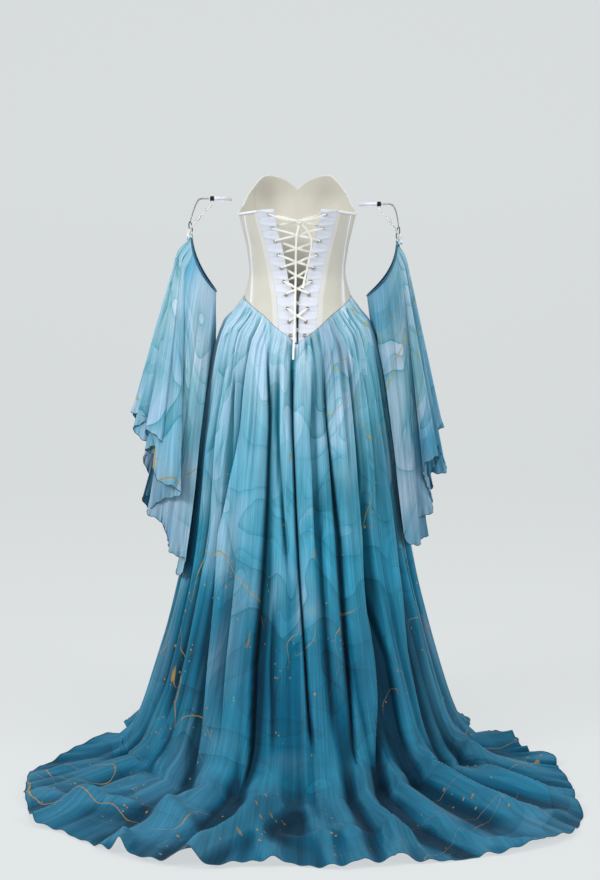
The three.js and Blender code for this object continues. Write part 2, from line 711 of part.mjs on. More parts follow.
// Free ends of the lace: points chosen by hand, as sideways distance, height and distance out from the corset
const TAIL_LEFT = [
  { x: 2.8, z: 1166.1, out: 6.5 },
  { x: 2.2, z: 1160, out: 7 },
  { x: 0.5, z: 1152, out: 8 },
  { x: -1.5, z: 1142, out: 8.2 },
  { x: -2.5, z: 1128, out: 8.4 },
  { x: -3, z: 1108, out: 8.6 },
  { x: -3.4, z: 1088, out: 8.8 },
  { x: -3.6, z: 1066, out: 9 },
  { x: -3.8, z: 1044, out: 8.8 },
  { x: -4.2, z: 1022, out: 8.6 },
  { x: -4.6, z: 1000, out: 8.2 },
  { x: -5, z: 978, out: 8 },
  { x: -5.6, z: 956, out: 8 },
  { x: -6.4, z: 934, out: 8.2 },
  { x: -7.2, z: 912, out: 9.4 },
  { x: -8, z: 892, out: 13 },
  { x: -8.4, z: 874, out: 18 },
];
const TAIL_RIGHT = [
  { x: 8, z: 1167.5, out: 6.5 },
  { x: 12, z: 1162, out: 7 },
  { x: 19, z: 1153, out: 8 },
  { x: 26, z: 1141, out: 8.4 },
  { x: 29, z: 1128, out: 8.4 },
  { x: 28, z: 1113, out: 8.4 },
  { x: 25.5, z: 1098, out: 8.4 },
  { x: 22.5, z: 1083, out: 8.6 },
  { x: 19.5, z: 1068, out: 8.6 },
  { x: 16.5, z: 1053, out: 8.6 },
  { x: 13.5, z: 1038, out: 8.4 },
  { x: 10.5, z: 1024, out: 8.4 },
];

function laceTail(route) {
  const points = route.map((stop) => torsoOut(turnAt(stop.x, stop.z), stop.z, stop.out));
  const curve = new THREE.CatmullRomCurve3(points);
  const section = new THREE.Shape();
  section.absarc(0, 0, TAIL_DIAMETER / 2, 0, 2 * Math.PI, false);
  const steps = Math.round(curve.getLength() / (3 * TAIL_DIAMETER));
  return new THREE.ExtrudeGeometry(section, { steps, curveSegments: 4, extrudePath: curve });
}

// Skirt surface. The middle of the cloth, without folds, at a turn and a share of its length from seam to hem
const hemRadius = (turn) => column(HEM, 'turn', sideTurn(turn), wrapTurn(turn) < 0 ? 'left' : 'right');

function hemPoint(turn) {
  const side = sideTurn(turn);
  const share = side < 90 ? HEM_TURN_SHARE + (1 - HEM_TURN_SHARE) * (side / 90) ** 2 : 1;
  const direction = Math.sign(wrapTurn(turn)) * side * share;
  const radius = hemRadius(direction);
  return ovalPoint(direction, radius, radius, radius, 0);
}

function skirtOutline(turn, z) {
  const outline = ovalPoint(
    turn,
    column(SKIRT, 'z', z, 'half'),
    column(SKIRT, 'z', z, 'back'),
    column(SKIRT, 'z', z, 'front'),
    z,
  );
  const share = ease((seamHeight(turn) - z) / SEAM_BLEND);
  return torsoPoint(turn, z).lerp(outline, share);
}

const HANG_SAMPLES = 46;
const HANG_CROWDING = 1.25;
const TRAIN_SAMPLES = 10;
const meridians = new Map();

function meridian(turn) {
  const key = Math.round(turn * 1000);
  if (meridians.has(key)) return meridians.get(key);
  const top = seamHeight(turn) - SKIRT_SEAM_GAP;
  const points = [];
  for (let i = 0; i <= HANG_SAMPLES; i += 1) {
    const share = i / HANG_SAMPLES;
    points.push(skirtOutline(turn, top * (1 - share) ** HANG_CROWDING));
  }
  const floorEdge = points.at(-1);
  const hem = hemPoint(turn);
  for (let i = 1; i <= TRAIN_SAMPLES; i += 1) points.push(floorEdge.clone().lerp(hem, i / TRAIN_SAMPLES));
  const lengths = [0];
  for (let i = 1; i < points.length; i += 1) {
    lengths.push(lengths[i - 1] + points[i].distanceTo(points[i - 1]));
  }
  const result = { points, lengths, hangLength: lengths[HANG_SAMPLES] };
  meridians.set(key, result);
  return result;
}

function onMeridian(turn, row) {
  const { points, lengths, hangLength } = meridian(turn);
  const total = lengths.at(-1);
  const hanging = Math.min(hangLength / total, MOST_HANGING);
  const beyond = (row - FLOOR_ROW) / (1 - FLOOR_ROW);
  const length = total * (row < FLOOR_ROW ? (hanging * row) / FLOOR_ROW : mix(hanging, 1, beyond));
  let i = 0;
  while (i + 2 < lengths.length && lengths[i + 1] < length) i += 1;
  const s = (length - lengths[i]) / (lengths[i + 1] - lengths[i]);
  const train = ease(beyond) * ease((total - hangLength) / LONG_TRAIN);
  return { point: points[i].clone().lerp(points[i + 1], s), train };
}

const onSkirt = (turn, share) => onMeridian(turn, share).point;

function ridgeTurn(fold, z) {
  if (z > KNEE_HEIGHT) return mix(fold.knee, fold.hip, ease((z - KNEE_HEIGHT) / (HIP_HEIGHT - KNEE_HEIGHT)));
  return mix(fold.floor, fold.knee, ease(z / KNEE_HEIGHT));
}

// Height of the folds at a turn and height: round ridges with narrow valleys between them
function foldHeight(turn, z) {
  const first = ridgeTurn(FOLDS[0], z);
  let angle = turn;
  while (angle < first) angle += 360;
  while (angle >= first + 360) angle -= 360;
  let i = 0;
  while (i + 1 < FOLDS.length && ridgeTurn(FOLDS[i + 1], z) <= angle) i += 1;
  const here = FOLDS[i];
  const next = FOLDS[(i + 1) % FOLDS.length];
  const start = ridgeTurn(here, z);
  const end = i + 1 < FOLDS.length ? ridgeTurn(next, z) : ridgeTurn(next, z) + 360;
  const share = (angle - start) / (end - start);
  const wave = (0.5 + 0.5 * Math.cos(2 * Math.PI * share)) ** FOLD_SHAPE.power;
  return { wave, lift: mix(here.lift, next.lift, ease(share)) };
}

const skirtNormal = (surface, turn, share) =>
  normalOf(surface, turn, mix(STEP.skirt, 1 - STEP.skirt, share), STEP.turn, STEP.skirt);

function skirtPoint(turn, share) {
  const { point, train } = onMeridian(turn, share);
  const normal = skirtNormal(onSkirt, turn, share);
  const z = point.z;
  const below = seamHeight(turn) - z;
  const { wave, lift } = foldHeight(turn, z);
  const flatness = mix(1, TRAIN_FOLD_SHARE, train);
  const hang = ease(z / FOLD_SHAPE.floor);
  const height = lift * column(FOLD_SHARE, 'z', z, 'share') * flatness * (wave - FOLD_SHAPE.sink * hang);
  const gatherWave = 0.5 + 0.5 * Math.cos(radians(turn) * GATHERS.count);
  const gatherRise = mix(GATHERS.atSeam, GATHERS.rise, ease(below / GATHERS.grow));
  const gathers = gatherWave * gatherRise * (1 - ease((below - GATHERS.grow) / GATHERS.fade));
  point.addScaledVector(normal, height + gathers);
  point.z = Math.max(point.z, CHIFFON_WALL + FLOOR_CLEARANCE);
  return point;
}

function skirtPanel(panel) {
  const edgeFrom = panel.from;
  const edgeTo = panel.from + panel.degrees;
  const outer = [];
  const inner = [];
  const addRow = (share, columns) => {
    const outerRow = [];
    const innerRow = [];
    for (let i = 0; i <= columns; i += 1) {
      const turn = mix(edgeFrom, edgeTo, i / columns);
      const point = skirtPoint(turn, share);
      const normal = skirtNormal(skirtPoint, turn, share);
      const along = alongTurn(skirtPoint, turn, share);
      const shift = i === 0 ? 1 : i === columns ? -1 : 0;
      point.addScaledVector(along, (shift * SEAM_GAP) / 2);
      outerRow.push(point);
      const inside = point.clone().addScaledVector(normal, -CHIFFON_WALL);
      inside.z = Math.max(inside.z, 0);
      innerRow.push(inside);
    }
    outer.push(outerRow);
    inner.push(innerRow);
  };
  for (const share of SKIRT_FINE_ROWS) addRow(share, panel.columns);
  for (const share of SKIRT_COARSE_ROWS) addRow(share, panel.columns / 2);
  return wallGeometry(outer, inner, false);
}

// Sleeve surface: round the tilted opening, then down to the hem. Turn 0 is the arm's outer side, 90 its back
function loopPoint(sleeve, turn) {
  const { outer, inner, top, drop, depth, shape } = sleeve.loop;
  const angle = radians(turn);
  const x = (outer + inner) / 2 + ((outer - inner) / 2) * Math.cos(angle);
  const fall = Math.abs(Math.sin(angle / 2)) ** shape;
  return new THREE.Vector3(sleeve.sign * x, -depth * Math.sin(angle), top - drop * fall);
}

function sleeveOutline(sleeve, turn, z) {
  const value = (name) => column(sleeve.sections, 'z', z, name);
  const angle = radians(turn);
  const x = (value('outer') + value('inner')) / 2 + ((value('outer') - value('inner')) / 2) * Math.cos(angle);
  const depth = Math.sin(angle) > 0 ? value('back') : value('front');
  return new THREE.Vector3(sleeve.sign * x, -depth * Math.sin(angle), z);
}

// Moves a point out of the skirt, to a clearance from the skirt's outline
function keepOffSkirt(point) {
  if (point.z > 1008) return point;
  const half = column(SKIRT, 'z', point.z, 'half') + SLEEVE_CLEARANCE;
  const depth = column(SKIRT, 'z', point.z, point.y < 0 ? 'back' : 'front') + SLEEVE_CLEARANCE;
  const reach = Math.hypot(point.x / half, point.y / depth);
  if (reach < 1) {
    point.x /= reach;
    point.y /= reach;
  }
  return point;
}

function sleeveBase(sleeve, turn, share) {
  const start = loopPoint(sleeve, turn);
  const around = ((turn % 360) + 360) % 360;
  const end = column(sleeve.hem, 'turn', around, 'z');
  const z = mix(start.z, end, share);
  const outline = sleeveOutline(sleeve, turn, z);
  const blend = ease((start.z - z) / SLEEVE_BLEND);
  return new THREE.Vector3(start.x, start.y, z).lerp(outline, blend);
}

function sleeveNormal(surface, sleeve, turn, share) {
  const inside = mix(STEP.sleeve, 1 - STEP.sleeve, share);
  return normalOf(surface, turn, inside, 2 * STEP.turn, STEP.sleeve).multiplyScalar(-sleeve.sign);
}

function sleevePoint(sleeve, turn, share) {
  const surface = (t, s) => sleeveBase(sleeve, t, s);
  const point = surface(turn, share);
  const { count, uneven, hang, hem, hemWave, full, flare } = SLEEVE_FOLDS;
  const angle = radians(turn);
  const wave = Math.cos(count * angle + uneven * Math.sin(angle));
  const rise = mix(mix(0, hang, ease(share / full)), hem, ease((share - flare) / (1 - flare)));
  point.addScaledVector(sleeveNormal(surface, sleeve, turn, share), wave * rise);
  point.z += hemWave * wave * ease((share - SLEEVE_FOLDS.wave) / (1 - SLEEVE_FOLDS.wave));
  return keepOffSkirt(point);
}

function sleeveBody(sleeve) {
  const outer = [];
  const inner = [];
  const surface = (t, s) => sleevePoint(sleeve, t, s);
  for (let j = 0; j <= SLEEVE_ROWS; j += 1) {
    const share = j / SLEEVE_ROWS;
    const outerRow = [];
    const innerRow = [];
    for (let i = 0; i < SLEEVE_COLUMNS; i += 1) {
      const turn = (360 * i) / SLEEVE_COLUMNS;
      const point = surface(turn, share);
      outerRow.push(point);
      innerRow.push(point.clone().addScaledVector(sleeveNormal(surface, sleeve, turn, share), -CHIFFON_WALL));
    }
    outer.push(outerRow);
    inner.push(innerRow);
  }
  return wallGeometry(outer, inner, true);
}

// A square ring round a closed path, as one body: corners are given as two offsets from the path
function squareRing(steps, corners, place) {
  const body = new Body();
  const ring = (corner) => Array.from({ length: steps }, (_, i) => place(i, corner));
  const rings = corners.map((corner) => body.addRow(ring(corner)));
  for (let r = 0; r < rings.length; r += 1) body.strip(rings[r], rings[(r + 1) % rings.length], true, false);
  return body.geometry();
}

// A band round the sleeve's opening, just above the cloth's edge
function sleeveBinding(sleeve) {
  const { width, outer, inner, foot } = SLEEVE_BINDING;
  const corners = [[outer, foot], [outer, width], [inner, width], [inner, foot]];
  return squareRing(SLEEVE_COLUMNS, corners, (i, [side, up]) => {
    const turn = (360 * i) / SLEEVE_COLUMNS;
    const angle = radians(turn);
    const out = new THREE.Vector3(sleeve.sign * Math.cos(angle), -Math.sin(angle), 0);
    const point = sleevePoint(sleeve, turn, 0).addScaledVector(out, side);
    point.z += up;
    return point;
  });
}

// Arm band. Turn 0 is the back of the arm, 90 its outer side, -90 its inner side
function armPoint(arm, turn, radius, z) {
  const angle = radians(turn);
  const x = arm.x + radius * Math.sin(angle);
  return new THREE.Vector3(arm.sign * x, -radius * Math.cos(angle), z);
}

function armElastic(arm) {
  const rings = [];
  for (let i = 0; i <= ELASTIC.steps; i += 1) {
    const turn = mix(ELASTIC.from, ELASTIC.to, i / ELASTIC.steps);
    const corner = (radius, up) => armPoint(arm, turn, arm.radius + radius, arm.z + up);
    const half = ELASTIC.height / 2;
    rings.push([corner(0, -half), corner(0, half), corner(ELASTIC.wall, half), corner(ELASTIC.wall, -half)]);
  }
  return loftGeometry(rings);
}

function armClip(arm) {
  const clip = new THREE.BoxGeometry(CLIP.width, CLIP.depth, CLIP.height);
  const place = armPoint(arm, CLIP.turn, arm.radius + CLIP.out, arm.z);
  clip.rotateZ(arm.sign * radians(CLIP.lean));
  clip.translate(place.x, place.y, place.z);
  return clip;
}

// A string of round beads or links along a route, as one body whose radius swells at each
function stringBody(route, count, big, small, sides) {
  const curve = new THREE.CatmullRomCurve3(route);
  const rings = [];
  const steps = 2 * count;
  for (let i = 0; i <= steps; i += 1) {
    const share = i / steps;
    const centre = curve.getPointAt(share);
    const direction = curve.getTangentAt(share);
    const sideways = new THREE.Vector3(0, 0, 1).cross(direction);
    if (sideways.length() < 0.2) sideways.set(1, 0, 0);
    sideways.normalize();
    const upward = direction.clone().cross(sideways).normalize();
    const radius = i % 2 === 1 ? big : small;
    rings.push(
      Array.from({ length: sides }, (_, k) => {
        const angle = (2 * Math.PI * k) / sides;
        return centre
          .clone()
          .addScaledVector(sideways, radius * Math.cos(angle))
          .addScaledVector(upward, radius * Math.sin(angle));
      }),
    );
  }
  return loftGeometry(rings);
}

// The sleeve's top point, where the cloth loop and the flower are
const sleeveTop = (arm) => loopPoint(arm.sleeve, 0);

function loopFoot(arm) {
  const up = SLEEVE_BINDING.width + SEAM_GAP;
  return sleeveTop(arm).add(new THREE.Vector3(arm.sign * CLOTH_LOOP.foot, 0, up));
}

// Where the chain hangs in the cloth loop, just under the loop's top
function loopSeat(arm) {
  const under = CLOTH_LOOP.height - CLOTH_LOOP.band - CHAIN.radius - 2 * SEAM_GAP;
  return loopFoot(arm).add(new THREE.Vector3(arm.sign * 2 * CLOTH_LOOP.lean, 0, under));
}

const routePoint = (arm, stop) => armPoint(arm, stop.turn, arm.radius + stop.out, arm.z + stop.up);

// Chain from the back clip round the outer side, down to the cloth loop, and up to the elastic's front end
function armChain(arm) {
  const stops = CHAIN_ROUTE.map((stop) => routePoint(arm, stop));
  stops.splice(CHAIN_ROUTE.length / 2, 0, loopSeat(arm));
  return stringBody(stops, CHAIN.links, CHAIN.radius, CHAIN.radius * CHAIN.waist, CHAIN.sides);
}

// The flower lies flat against the sleeve's top point and faces out and back
function flowerFrame(arm) {
  const facing = new THREE.Vector3(arm.sign * FLOWER.outward, -Math.sqrt(1 - FLOWER.outward ** 2), 0);
  const across = new THREE.Vector3(-facing.y, facing.x, 0);
  const centre = sleeveTop(arm).addScaledVector(facing, arm.flowerOut);
  centre.z += FLOWER.rise;
  return { centre, facing, across };
}

// Pearls hung from the clip's foot, sewn at their low end to the flower
function pearlStrand(arm) {
  const { centre, facing, across } = flowerFrame(arm);
  const inward = -Math.sign(across.x) * arm.sign;
  const low = centre.clone().addScaledVector(facing, PEARL.thread + FLOWER.thick / 2);
  low.addScaledVector(across, inward * PEARL.foot);
  low.z += PEARL.foot;
  const before = low.clone().addScaledVector(across, inward * PEARL.last);
  before.z += PEARL.lastRise;
  const route = [...PEARL_ROUTE.map((stop) => routePoint(arm, stop)), before, low];
  return stringBody(route, PEARL.count, PEARL.radius, PEARL.thread, PEARL.sides);
}

// Flower with round petals, as a star-shaped plate that is thicker in the middle
function flower(arm) {
  const steps = FLOWER.petals * 4;
  const { centre, facing, across } = flowerFrame(arm);
  const ring = (scale, depth) =>
    Array.from({ length: steps }, (_, k) => {
      const angle = (2 * Math.PI * k) / steps;
      const petal = 0.5 + 0.5 * Math.cos(FLOWER.petals * angle);
      const radius = mix(FLOWER.notch, FLOWER.radius, petal) * scale;
      const point = centre.clone().addScaledVector(across, radius * Math.cos(angle));
      point.addScaledVector(facing, depth);
      point.z += radius * Math.sin(angle);
      return point;
    });
  return loftGeometry([
    ring(FLOWER.back, -FLOWER.thick / 2),
    ring(1, 0),
    ring(FLOWER.heart, FLOWER.thick / 2),
  ]);
}

// Cloth loop that stands up from the sleeve's top point, as a flat ring that the chain passes through
function clothLoop(arm) {
  const base = loopFoot(arm);
  const { height, width, thick, band, lean, steps } = CLOTH_LOOP;
  const corners = [[0, -thick], [0, thick], [band, thick], [band, -thick]];
  return squareRing(steps, corners, (i, [inset, side]) => {
    const angle = (2 * Math.PI * i) / steps;
    const x = (width / 2 - inset) * Math.sin(angle) + arm.sign * lean * (1 - Math.cos(angle));
    const z = height / 2 - (height / 2 - inset) * Math.cos(angle);
    return base.clone().add(new THREE.Vector3(x, side, z));
  });
}

function buildCorset(group) {
  const mirrored = (turnOf) => (z) => -turnOf(z);
  for (const { name, from, to, across } of SIDE_PANELS) {
    addMesh(group, `${name}_right`, corsetPanel(from, to, across), MATERIALS.mesh);
    addMesh(group, `${name}_left`, corsetPanel(mirrored(to), mirrored(from), across), MATERIALS.mesh);
  }
  const frontLeftEdge = () => 360 - CORSET_FRONT_TURN;
  addMesh(group, 'corset_front', corsetPanel(frontEdge, frontLeftEdge, FRONT_COLUMNS), MATERIALS.mesh);
  addMesh(group, 'top_binding', topBinding(), MATERIALS.tape);
  for (const [name, sign] of [['left', -1], ['right', 1]]) {
    addMesh(group, `lacing_panel_${name}`, lacingPanel(sign), MATERIALS.cotton);
    addMesh(group, `boning_tape_${name}`, boningTape(sign), MATERIALS.tape);
    for (let row = 0; row < EYELET.count; row += 1) {
      addMesh(group, `eyelet_${name}_${row + 1}`, eyelet(row, sign), MATERIALS.metal);
    }
  }
  addMesh(group, 'lace_half_left', laceHalf(-1, 0), MATERIALS.lace);
  addMesh(group, 'lace_half_right', laceHalf(1, 1), MATERIALS.lace);
  addMesh(group, 'lace_knot', laceKnot(), MATERIALS.lace);
  addMesh(group, 'lace_tail_left', laceTail(TAIL_LEFT), MATERIALS.lace);
  addMesh(group, 'lace_tail_right', laceTail(TAIL_RIGHT), MATERIALS.lace);
}

function buildSkirt(group) {
  for (const panel of SKIRT_PANELS) addMesh(group, panel.name, skirtPanel(panel), MATERIALS.skirt);
}

function buildSleeve(group, arm) {
  const { sleeve } = arm;
  addMesh(group, `sleeve_${sleeve.side}`, sleeveBody(sleeve), MATERIALS.sleeve);
  addMesh(group, `sleeve_binding_${sleeve.side}`, sleeveBinding(sleeve), MATERIALS.teal);
  addMesh(group, `sleeve_loop_${sleeve.side}`, clothLoop(arm), MATERIALS.teal);
  addMesh(group, `arm_elastic_${sleeve.side}`, armElastic(arm), MATERIALS.elastic);
  addMesh(group, `arm_clip_${sleeve.side}`, armClip(arm), MATERIALS.clip);
  addMesh(group, `arm_chain_${sleeve.side}`, armChain(arm), MATERIALS.metal);
  addMesh(group, `pearl_strand_${sleeve.side}`, pearlStrand(arm), MATERIALS.pearl);
  addMesh(group, `flower_${sleeve.side}`, flower(arm), MATERIALS.flower);
}

const dress = new THREE.Group();
const garment = new THREE.Group();
garment.position.z = -WAIST_HEIGHT;
buildCorset(garment);
buildSkirt(garment);
buildSleeve(garment, ARM_LEFT);
buildSleeve(garment, ARM_RIGHT);
dress.add(garment);
dress.updateMatrixWorld(true);

export default dress;
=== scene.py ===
import math

import bpy
import numpy as np
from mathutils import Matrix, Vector


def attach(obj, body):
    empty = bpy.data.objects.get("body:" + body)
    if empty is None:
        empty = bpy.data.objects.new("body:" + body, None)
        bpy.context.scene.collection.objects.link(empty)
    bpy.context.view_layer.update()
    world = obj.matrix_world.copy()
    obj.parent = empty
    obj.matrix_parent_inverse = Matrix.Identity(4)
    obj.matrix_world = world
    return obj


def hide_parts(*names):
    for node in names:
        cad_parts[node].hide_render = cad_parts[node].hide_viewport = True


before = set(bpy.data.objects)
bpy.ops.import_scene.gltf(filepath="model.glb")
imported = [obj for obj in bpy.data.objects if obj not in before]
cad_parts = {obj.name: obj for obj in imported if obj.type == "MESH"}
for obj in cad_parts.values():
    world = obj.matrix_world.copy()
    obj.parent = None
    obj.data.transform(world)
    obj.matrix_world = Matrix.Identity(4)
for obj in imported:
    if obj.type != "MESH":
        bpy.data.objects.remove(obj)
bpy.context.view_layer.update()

# Heights below are in millimetres from the floor, as in the part's source; the frame's origin is the waist
WAIST_HEIGHT = 1060.0


def table(names, *rows):
    """A table with named columns, as arrays."""
    return dict(zip(names.split(), np.array(rows, float).T))


TORSO = table(
    "z half back front",
    (880, 156, 124, 132), (940, 141, 114, 120), (1007, 119, 97, 104), (1060, 107, 86, 94),
    (1110, 112, 88, 104), (1155, 122, 93, 118), (1195, 131, 98, 130), (1240, 137, 100, 136),
    (1300, 139, 100, 132),
)
CUP = {"turn": 150, "z": 1212, "spread_turn": 17, "spread_z": 46, "rise": 14}
WAIST_SEAM = table(
    "turn z",
    (0, 906), (8, 922), (19, 941), (35, 968), (47, 981), (62, 994), (90, 1008), (130, 1003),
    (160, 988), (180, 974),
)
TOP_EDGE = table(
    "turn z",
    (0, 1199), (36, 1196), (60, 1192), (90, 1190), (112, 1206), (132, 1244), (151, 1278),
    (167, 1270), (180, 1246),
)
LACING = table(
    "z inner eyelet outer",
    (905, 2, 13, 38), (1000, 3.5, 23.5, 45), (1043, 19, 29.5, 52), (1098, 29, 41, 63),
    (1145, 41, 52, 75), (1200, 52, 64, 88),
)
EYELET = {"count": 10, "top": 1186, "pitch": 29, "hole": 2.3, "sides": 28}
# An eyelet's section: radius and height above the cloth
EYELET_RING = ((2.3, -0.9), (2.3, 0.3), (2.6, 0.9), (3.3, 1.05), (4.0, 0.7), (4.4, 0.1), (4.3, -0.2))
TAPE_LINE = table("z turn", (940, 50), (1007, 58), (1060, 68), (1110, 67), (1195, 63))
TAPE = {"width": 7.0, "wall": 0.9, "end": 4}
BINDING = {"height": 5.0, "wall": 0.9}
CORSET_WALL = 1.4
CORSET_SIDE_TURN = 92
CORSET_FRONT_TURN = 136
# Boned casings, of double net: half widths under the tape and beside the lacing panel, edge softness and lift
CASING = {"tape": 6.5, "lacing": 5, "soft": 2, "lift": 0.35}
LACE = {"width": 4.6, "thick": 0.9, "hole": 2.6, "outside": 3.1, "inside": 2.5, "layer": 1.6}
KNOT = {"x": 3.3, "z": 1171, "out": 6.5, "half": 6.25}
# The lace's free ends: sideways distance, height and distance out from the corset
TAIL_LEFT = table(
    "x z out",
    (2.8, 1166.1, 6.5), (2.2, 1160, 7), (0.5, 1152, 8), (-1.5, 1142, 8.2), (-2.5, 1128, 8.4),
    (-3, 1108, 8.6), (-3.4, 1088, 8.8), (-3.6, 1066, 9), (-3.8, 1044, 8.8), (-4.2, 1022, 8.6),
    (-4.6, 1000, 8.2), (-5, 978, 8), (-5.6, 956, 8), (-6.4, 934, 8.2), (-7.2, 912, 9.4),
    (-8, 892, 13), (-8.4, 874, 18),
)
TAIL_RIGHT = table(
    "x z out",
    (8, 1167.5, 6.5), (12, 1162, 7), (19, 1153, 8), (26, 1141, 8.4), (29, 1128, 8.4),
    (28, 1113, 8.4), (25.5, 1098, 8.4), (22.5, 1083, 8.6), (19.5, 1068, 8.6), (16.5, 1053, 8.6),
    (13.5, 1038, 8.4), (10.5, 1024, 8.4),
)
SKIRT = table(
    "z half back front",
    (1008, 133, 116, 120), (976, 146, 124, 128), (953, 157, 129, 135), (920, 171, 135, 142),
    (891, 181, 142, 149), (819, 199, 164, 166), (729, 213, 193, 185), (670, 222, 211, 197),
    (593, 231, 232, 211), (502, 244, 258, 228), (404, 262, 289, 247), (319, 282, 317, 266),
    (203, 313, 356, 294), (133, 334, 383, 314), (87, 350, 404, 330), (40, 371, 432, 348),
    (15, 385, 458, 360), (4, 391, 485, 365), (0, 394, 520, 368),
)
SEAM_BLEND = 62
HEM = table(
    "turn left right",
    (0, 861, 861), (6, 868, 880), (12, 892, 874), (20, 876, 880), (30, 826, 884), (36, 800, 858),
    (43, 769, 815), (50, 722, 735), (57, 670, 676), (65, 607, 610), (71, 552, 561), (78, 489, 492),
    (86, 430, 446), (94, 402, 404), (105, 394, 394), (140, 384, 384), (180, 376, 376),
)
HEM_TURN_SHARE = 0.7
FOLDS = table(
    "hip knee floor lift",
    (-88, -86, -84, 20), (-68, -60, -61, 28), (-47, -45, -45, 14), (-30, -27, -27, 32),
    (-10, -8, -11, 24), (6, 8, 12, 16), (15, 17, 21, 18), (28, 29, 32, 30), (46, 44, 45, 28),
    (60, 58, 58, 14), (73, 70, 69, 24), (90, 87, 86, 18), (105, 104, 103, 22), (120, 121, 119, 24),
    (136, 137, 138, 20), (152, 152, 154, 26), (170, 169, 170, 22), (187, 187, 188, 24),
    (204, 205, 204, 20), (221, 221, 223, 26), (238, 237, 239, 22), (255, 256, 257, 20),
)
FOLD_SHARE = table(
    "z share",
    (0, 1.1), (90, 1.15), (320, 1.0), (600, 0.75), (820, 0.42), (920, 0.12), (1010, 0),
)
TRAIN_FOLD_SHARE = 0.2
LONG_TRAIN = 160
KNEE_HEIGHT = 320
HIP_HEIGHT = 850
GATHERS = {"count": 76, "rise": 5.0, "seam": 1.6, "grow": 22, "fade": 210}
SKIRT_PANELS = (
    ("skirt_back_right", 0, 68),
    ("skirt_side_right", 68, 60),
    ("skirt_front", 128, 104),
    ("skirt_side_left", 232, 60),
    ("skirt_back_left", 292, 68),
)
FLOOR_ROW = 0.76
MOST_HANGING = 0.93
SKIRT_TOP_GAP = 0.7
# Rows of the skirt's middle surface from the seam to the floor, and out over the train
HANG_ROWS = 47
TRAIN_ROWS = 11
# Height over which the folds change as they near the floor, and the lowest that the cloth lies
FLOOR_BLEND = 60
LOWEST = 1.4
SLEEVES = {
    "left": {
        "sign": -1,
        "loop": {"outer": 235, "inner": 181, "top": 1142, "drop": 126, "depth": 44, "shape": 1.0},
        "arm": {"x": 183, "z": 1221, "radius": 37, "flower_out": 5},
        "bulge": 20,
        "look": "sleeve",
    },
    "right": {
        "sign": 1,
        "loop": {"outer": 221, "inner": 155, "top": 1130, "drop": 124, "depth": 46, "shape": 0.85},
        "arm": {"x": 175, "z": 1209, "radius": 37, "flower_out": 6},
        "bulge": 11,
        # A darker copy of the chiffon: painted shade
        "look": "sleeve_right",
    },
}
SLEEVE_CLEARANCE = 9
CHAIN_ROUTE = table(
    "turn out up",
    (14, 1.2, 0), (32, 1.2, 1), (58, 3.2, -1), (76, 7.2, -14), (104, 7.2, -14), (122, 3.2, -1),
    (150, 1.2, 1), (181.5, 0.6, 0),
)
PEARL_ROUTE = table(
    "turn out up",
    (6.5, 0.6, -5.8), (6.5, 1, -11.8), (22, 4, -24), (42, 8, -40),
)
CLIP = {"turn": 6.5, "width": 9, "height": 11, "depth": 3.2, "lean": 8, "out": 0.6, "squareness": 0.35}
ELASTIC = {"half": 4, "wall": 1.0, "bulge": 0.15, "start": -1, "end": -178}
CHAIN = {"pitch": 3.1, "half_length": 2.0, "half_width": 1.1, "wire": 0.4}
PEARLS = {"pitch": 4.4, "large": 2.5, "small": 1.9, "thread": 0.5, "bead": 0.95, "bead_out": 2.4}
# Petals: count, length, cup and first angle of each layer
PETAL_LAYERS = ((6, 12.5, 1.8, 0.3), (5, 8.0, 2.8, 0.9))
LEAF_ANGLES = (-2.2, -1.45, -0.8)
CAMERA = {"lens": 73.226, "sensor": 36, "near": 0.05, "far": 60, "tilt": 6.2213}
CAMERA_PLACE = (0.0056, -4.0, 0.06)
# Studio: where the floor turns up into the backdrop, the turn's radius, and the lamps with size and power
FLOOR = {"half_width": 8, "near": -6.0, "flat_to": 5.4, "turn": 1.6, "high": 7.0}
LAMPS = (
    ("key", (-3.4, -2.6, 2.0), 1.6, 136),
    ("fill", (3.6, -2.2, 1.4), 1.8, 78),
    ("top", (0.0, -1.2, 3.6), 2.0, 60),
)
LAMP_AIM = (0, 0, -0.35)
BACKDROP_GLOW = 0.84
AIR_LIGHT = 0.28


def mix(a, b, share):
    return a + (b - a) * share


def ease(share):
    s = np.clip(share, 0, 1)
    return s * s * (3 - 2 * s)


def column(tab, key, value, name):
    """A smooth curve through one column of a table whose key rises or falls all the way."""
    x, y = tab[key], tab[name]
    if x[0] > x[-1]:
        x, y = x[::-1], y[::-1]
    slopes = np.diff(y) / np.diff(x)
    tangents = np.concatenate([slopes[:1], np.zeros(len(x) - 2), slopes[-1:]])
    before, after = slopes[:-1], slopes[1:]
    same = before * after > 0
    tangents[1:-1][same] = (2 * before * after)[same] / (before + after)[same]
    v = np.clip(value, x[0], x[-1])
    i = np.clip(np.searchsorted(x, v) - 1, 0, len(x) - 2)
    span = x[i + 1] - x[i]
    s = (v - x[i]) / span
    return (
        y[i] * (1 + 2 * s) * (1 - s) ** 2
        + tangents[i] * span * s * (1 - s) ** 2
        + y[i + 1] * s * s * (3 - 2 * s)
        + tangents[i + 1] * span * s * s * (s - 1)
    )


def stack(x, y, z):
    return np.stack(np.broadcast_arrays(x, y, z), axis=-1).astype(float)


def unit(vectors):
    return vectors / np.maximum(np.linalg.norm(vectors, axis=-1, keepdims=True), 1e-9)


def lengths_along(points):
    """Lengths from the first row of points, down each column."""
    steps = np.linalg.norm(np.diff(points, axis=0), axis=-1)
    return np.concatenate([np.zeros_like(steps[:1]), np.cumsum(steps, axis=0)])


def wrap(turn):
    return (turn + 180) % 360 - 180


def side_turn(turn):
    return np.abs(wrap(turn))


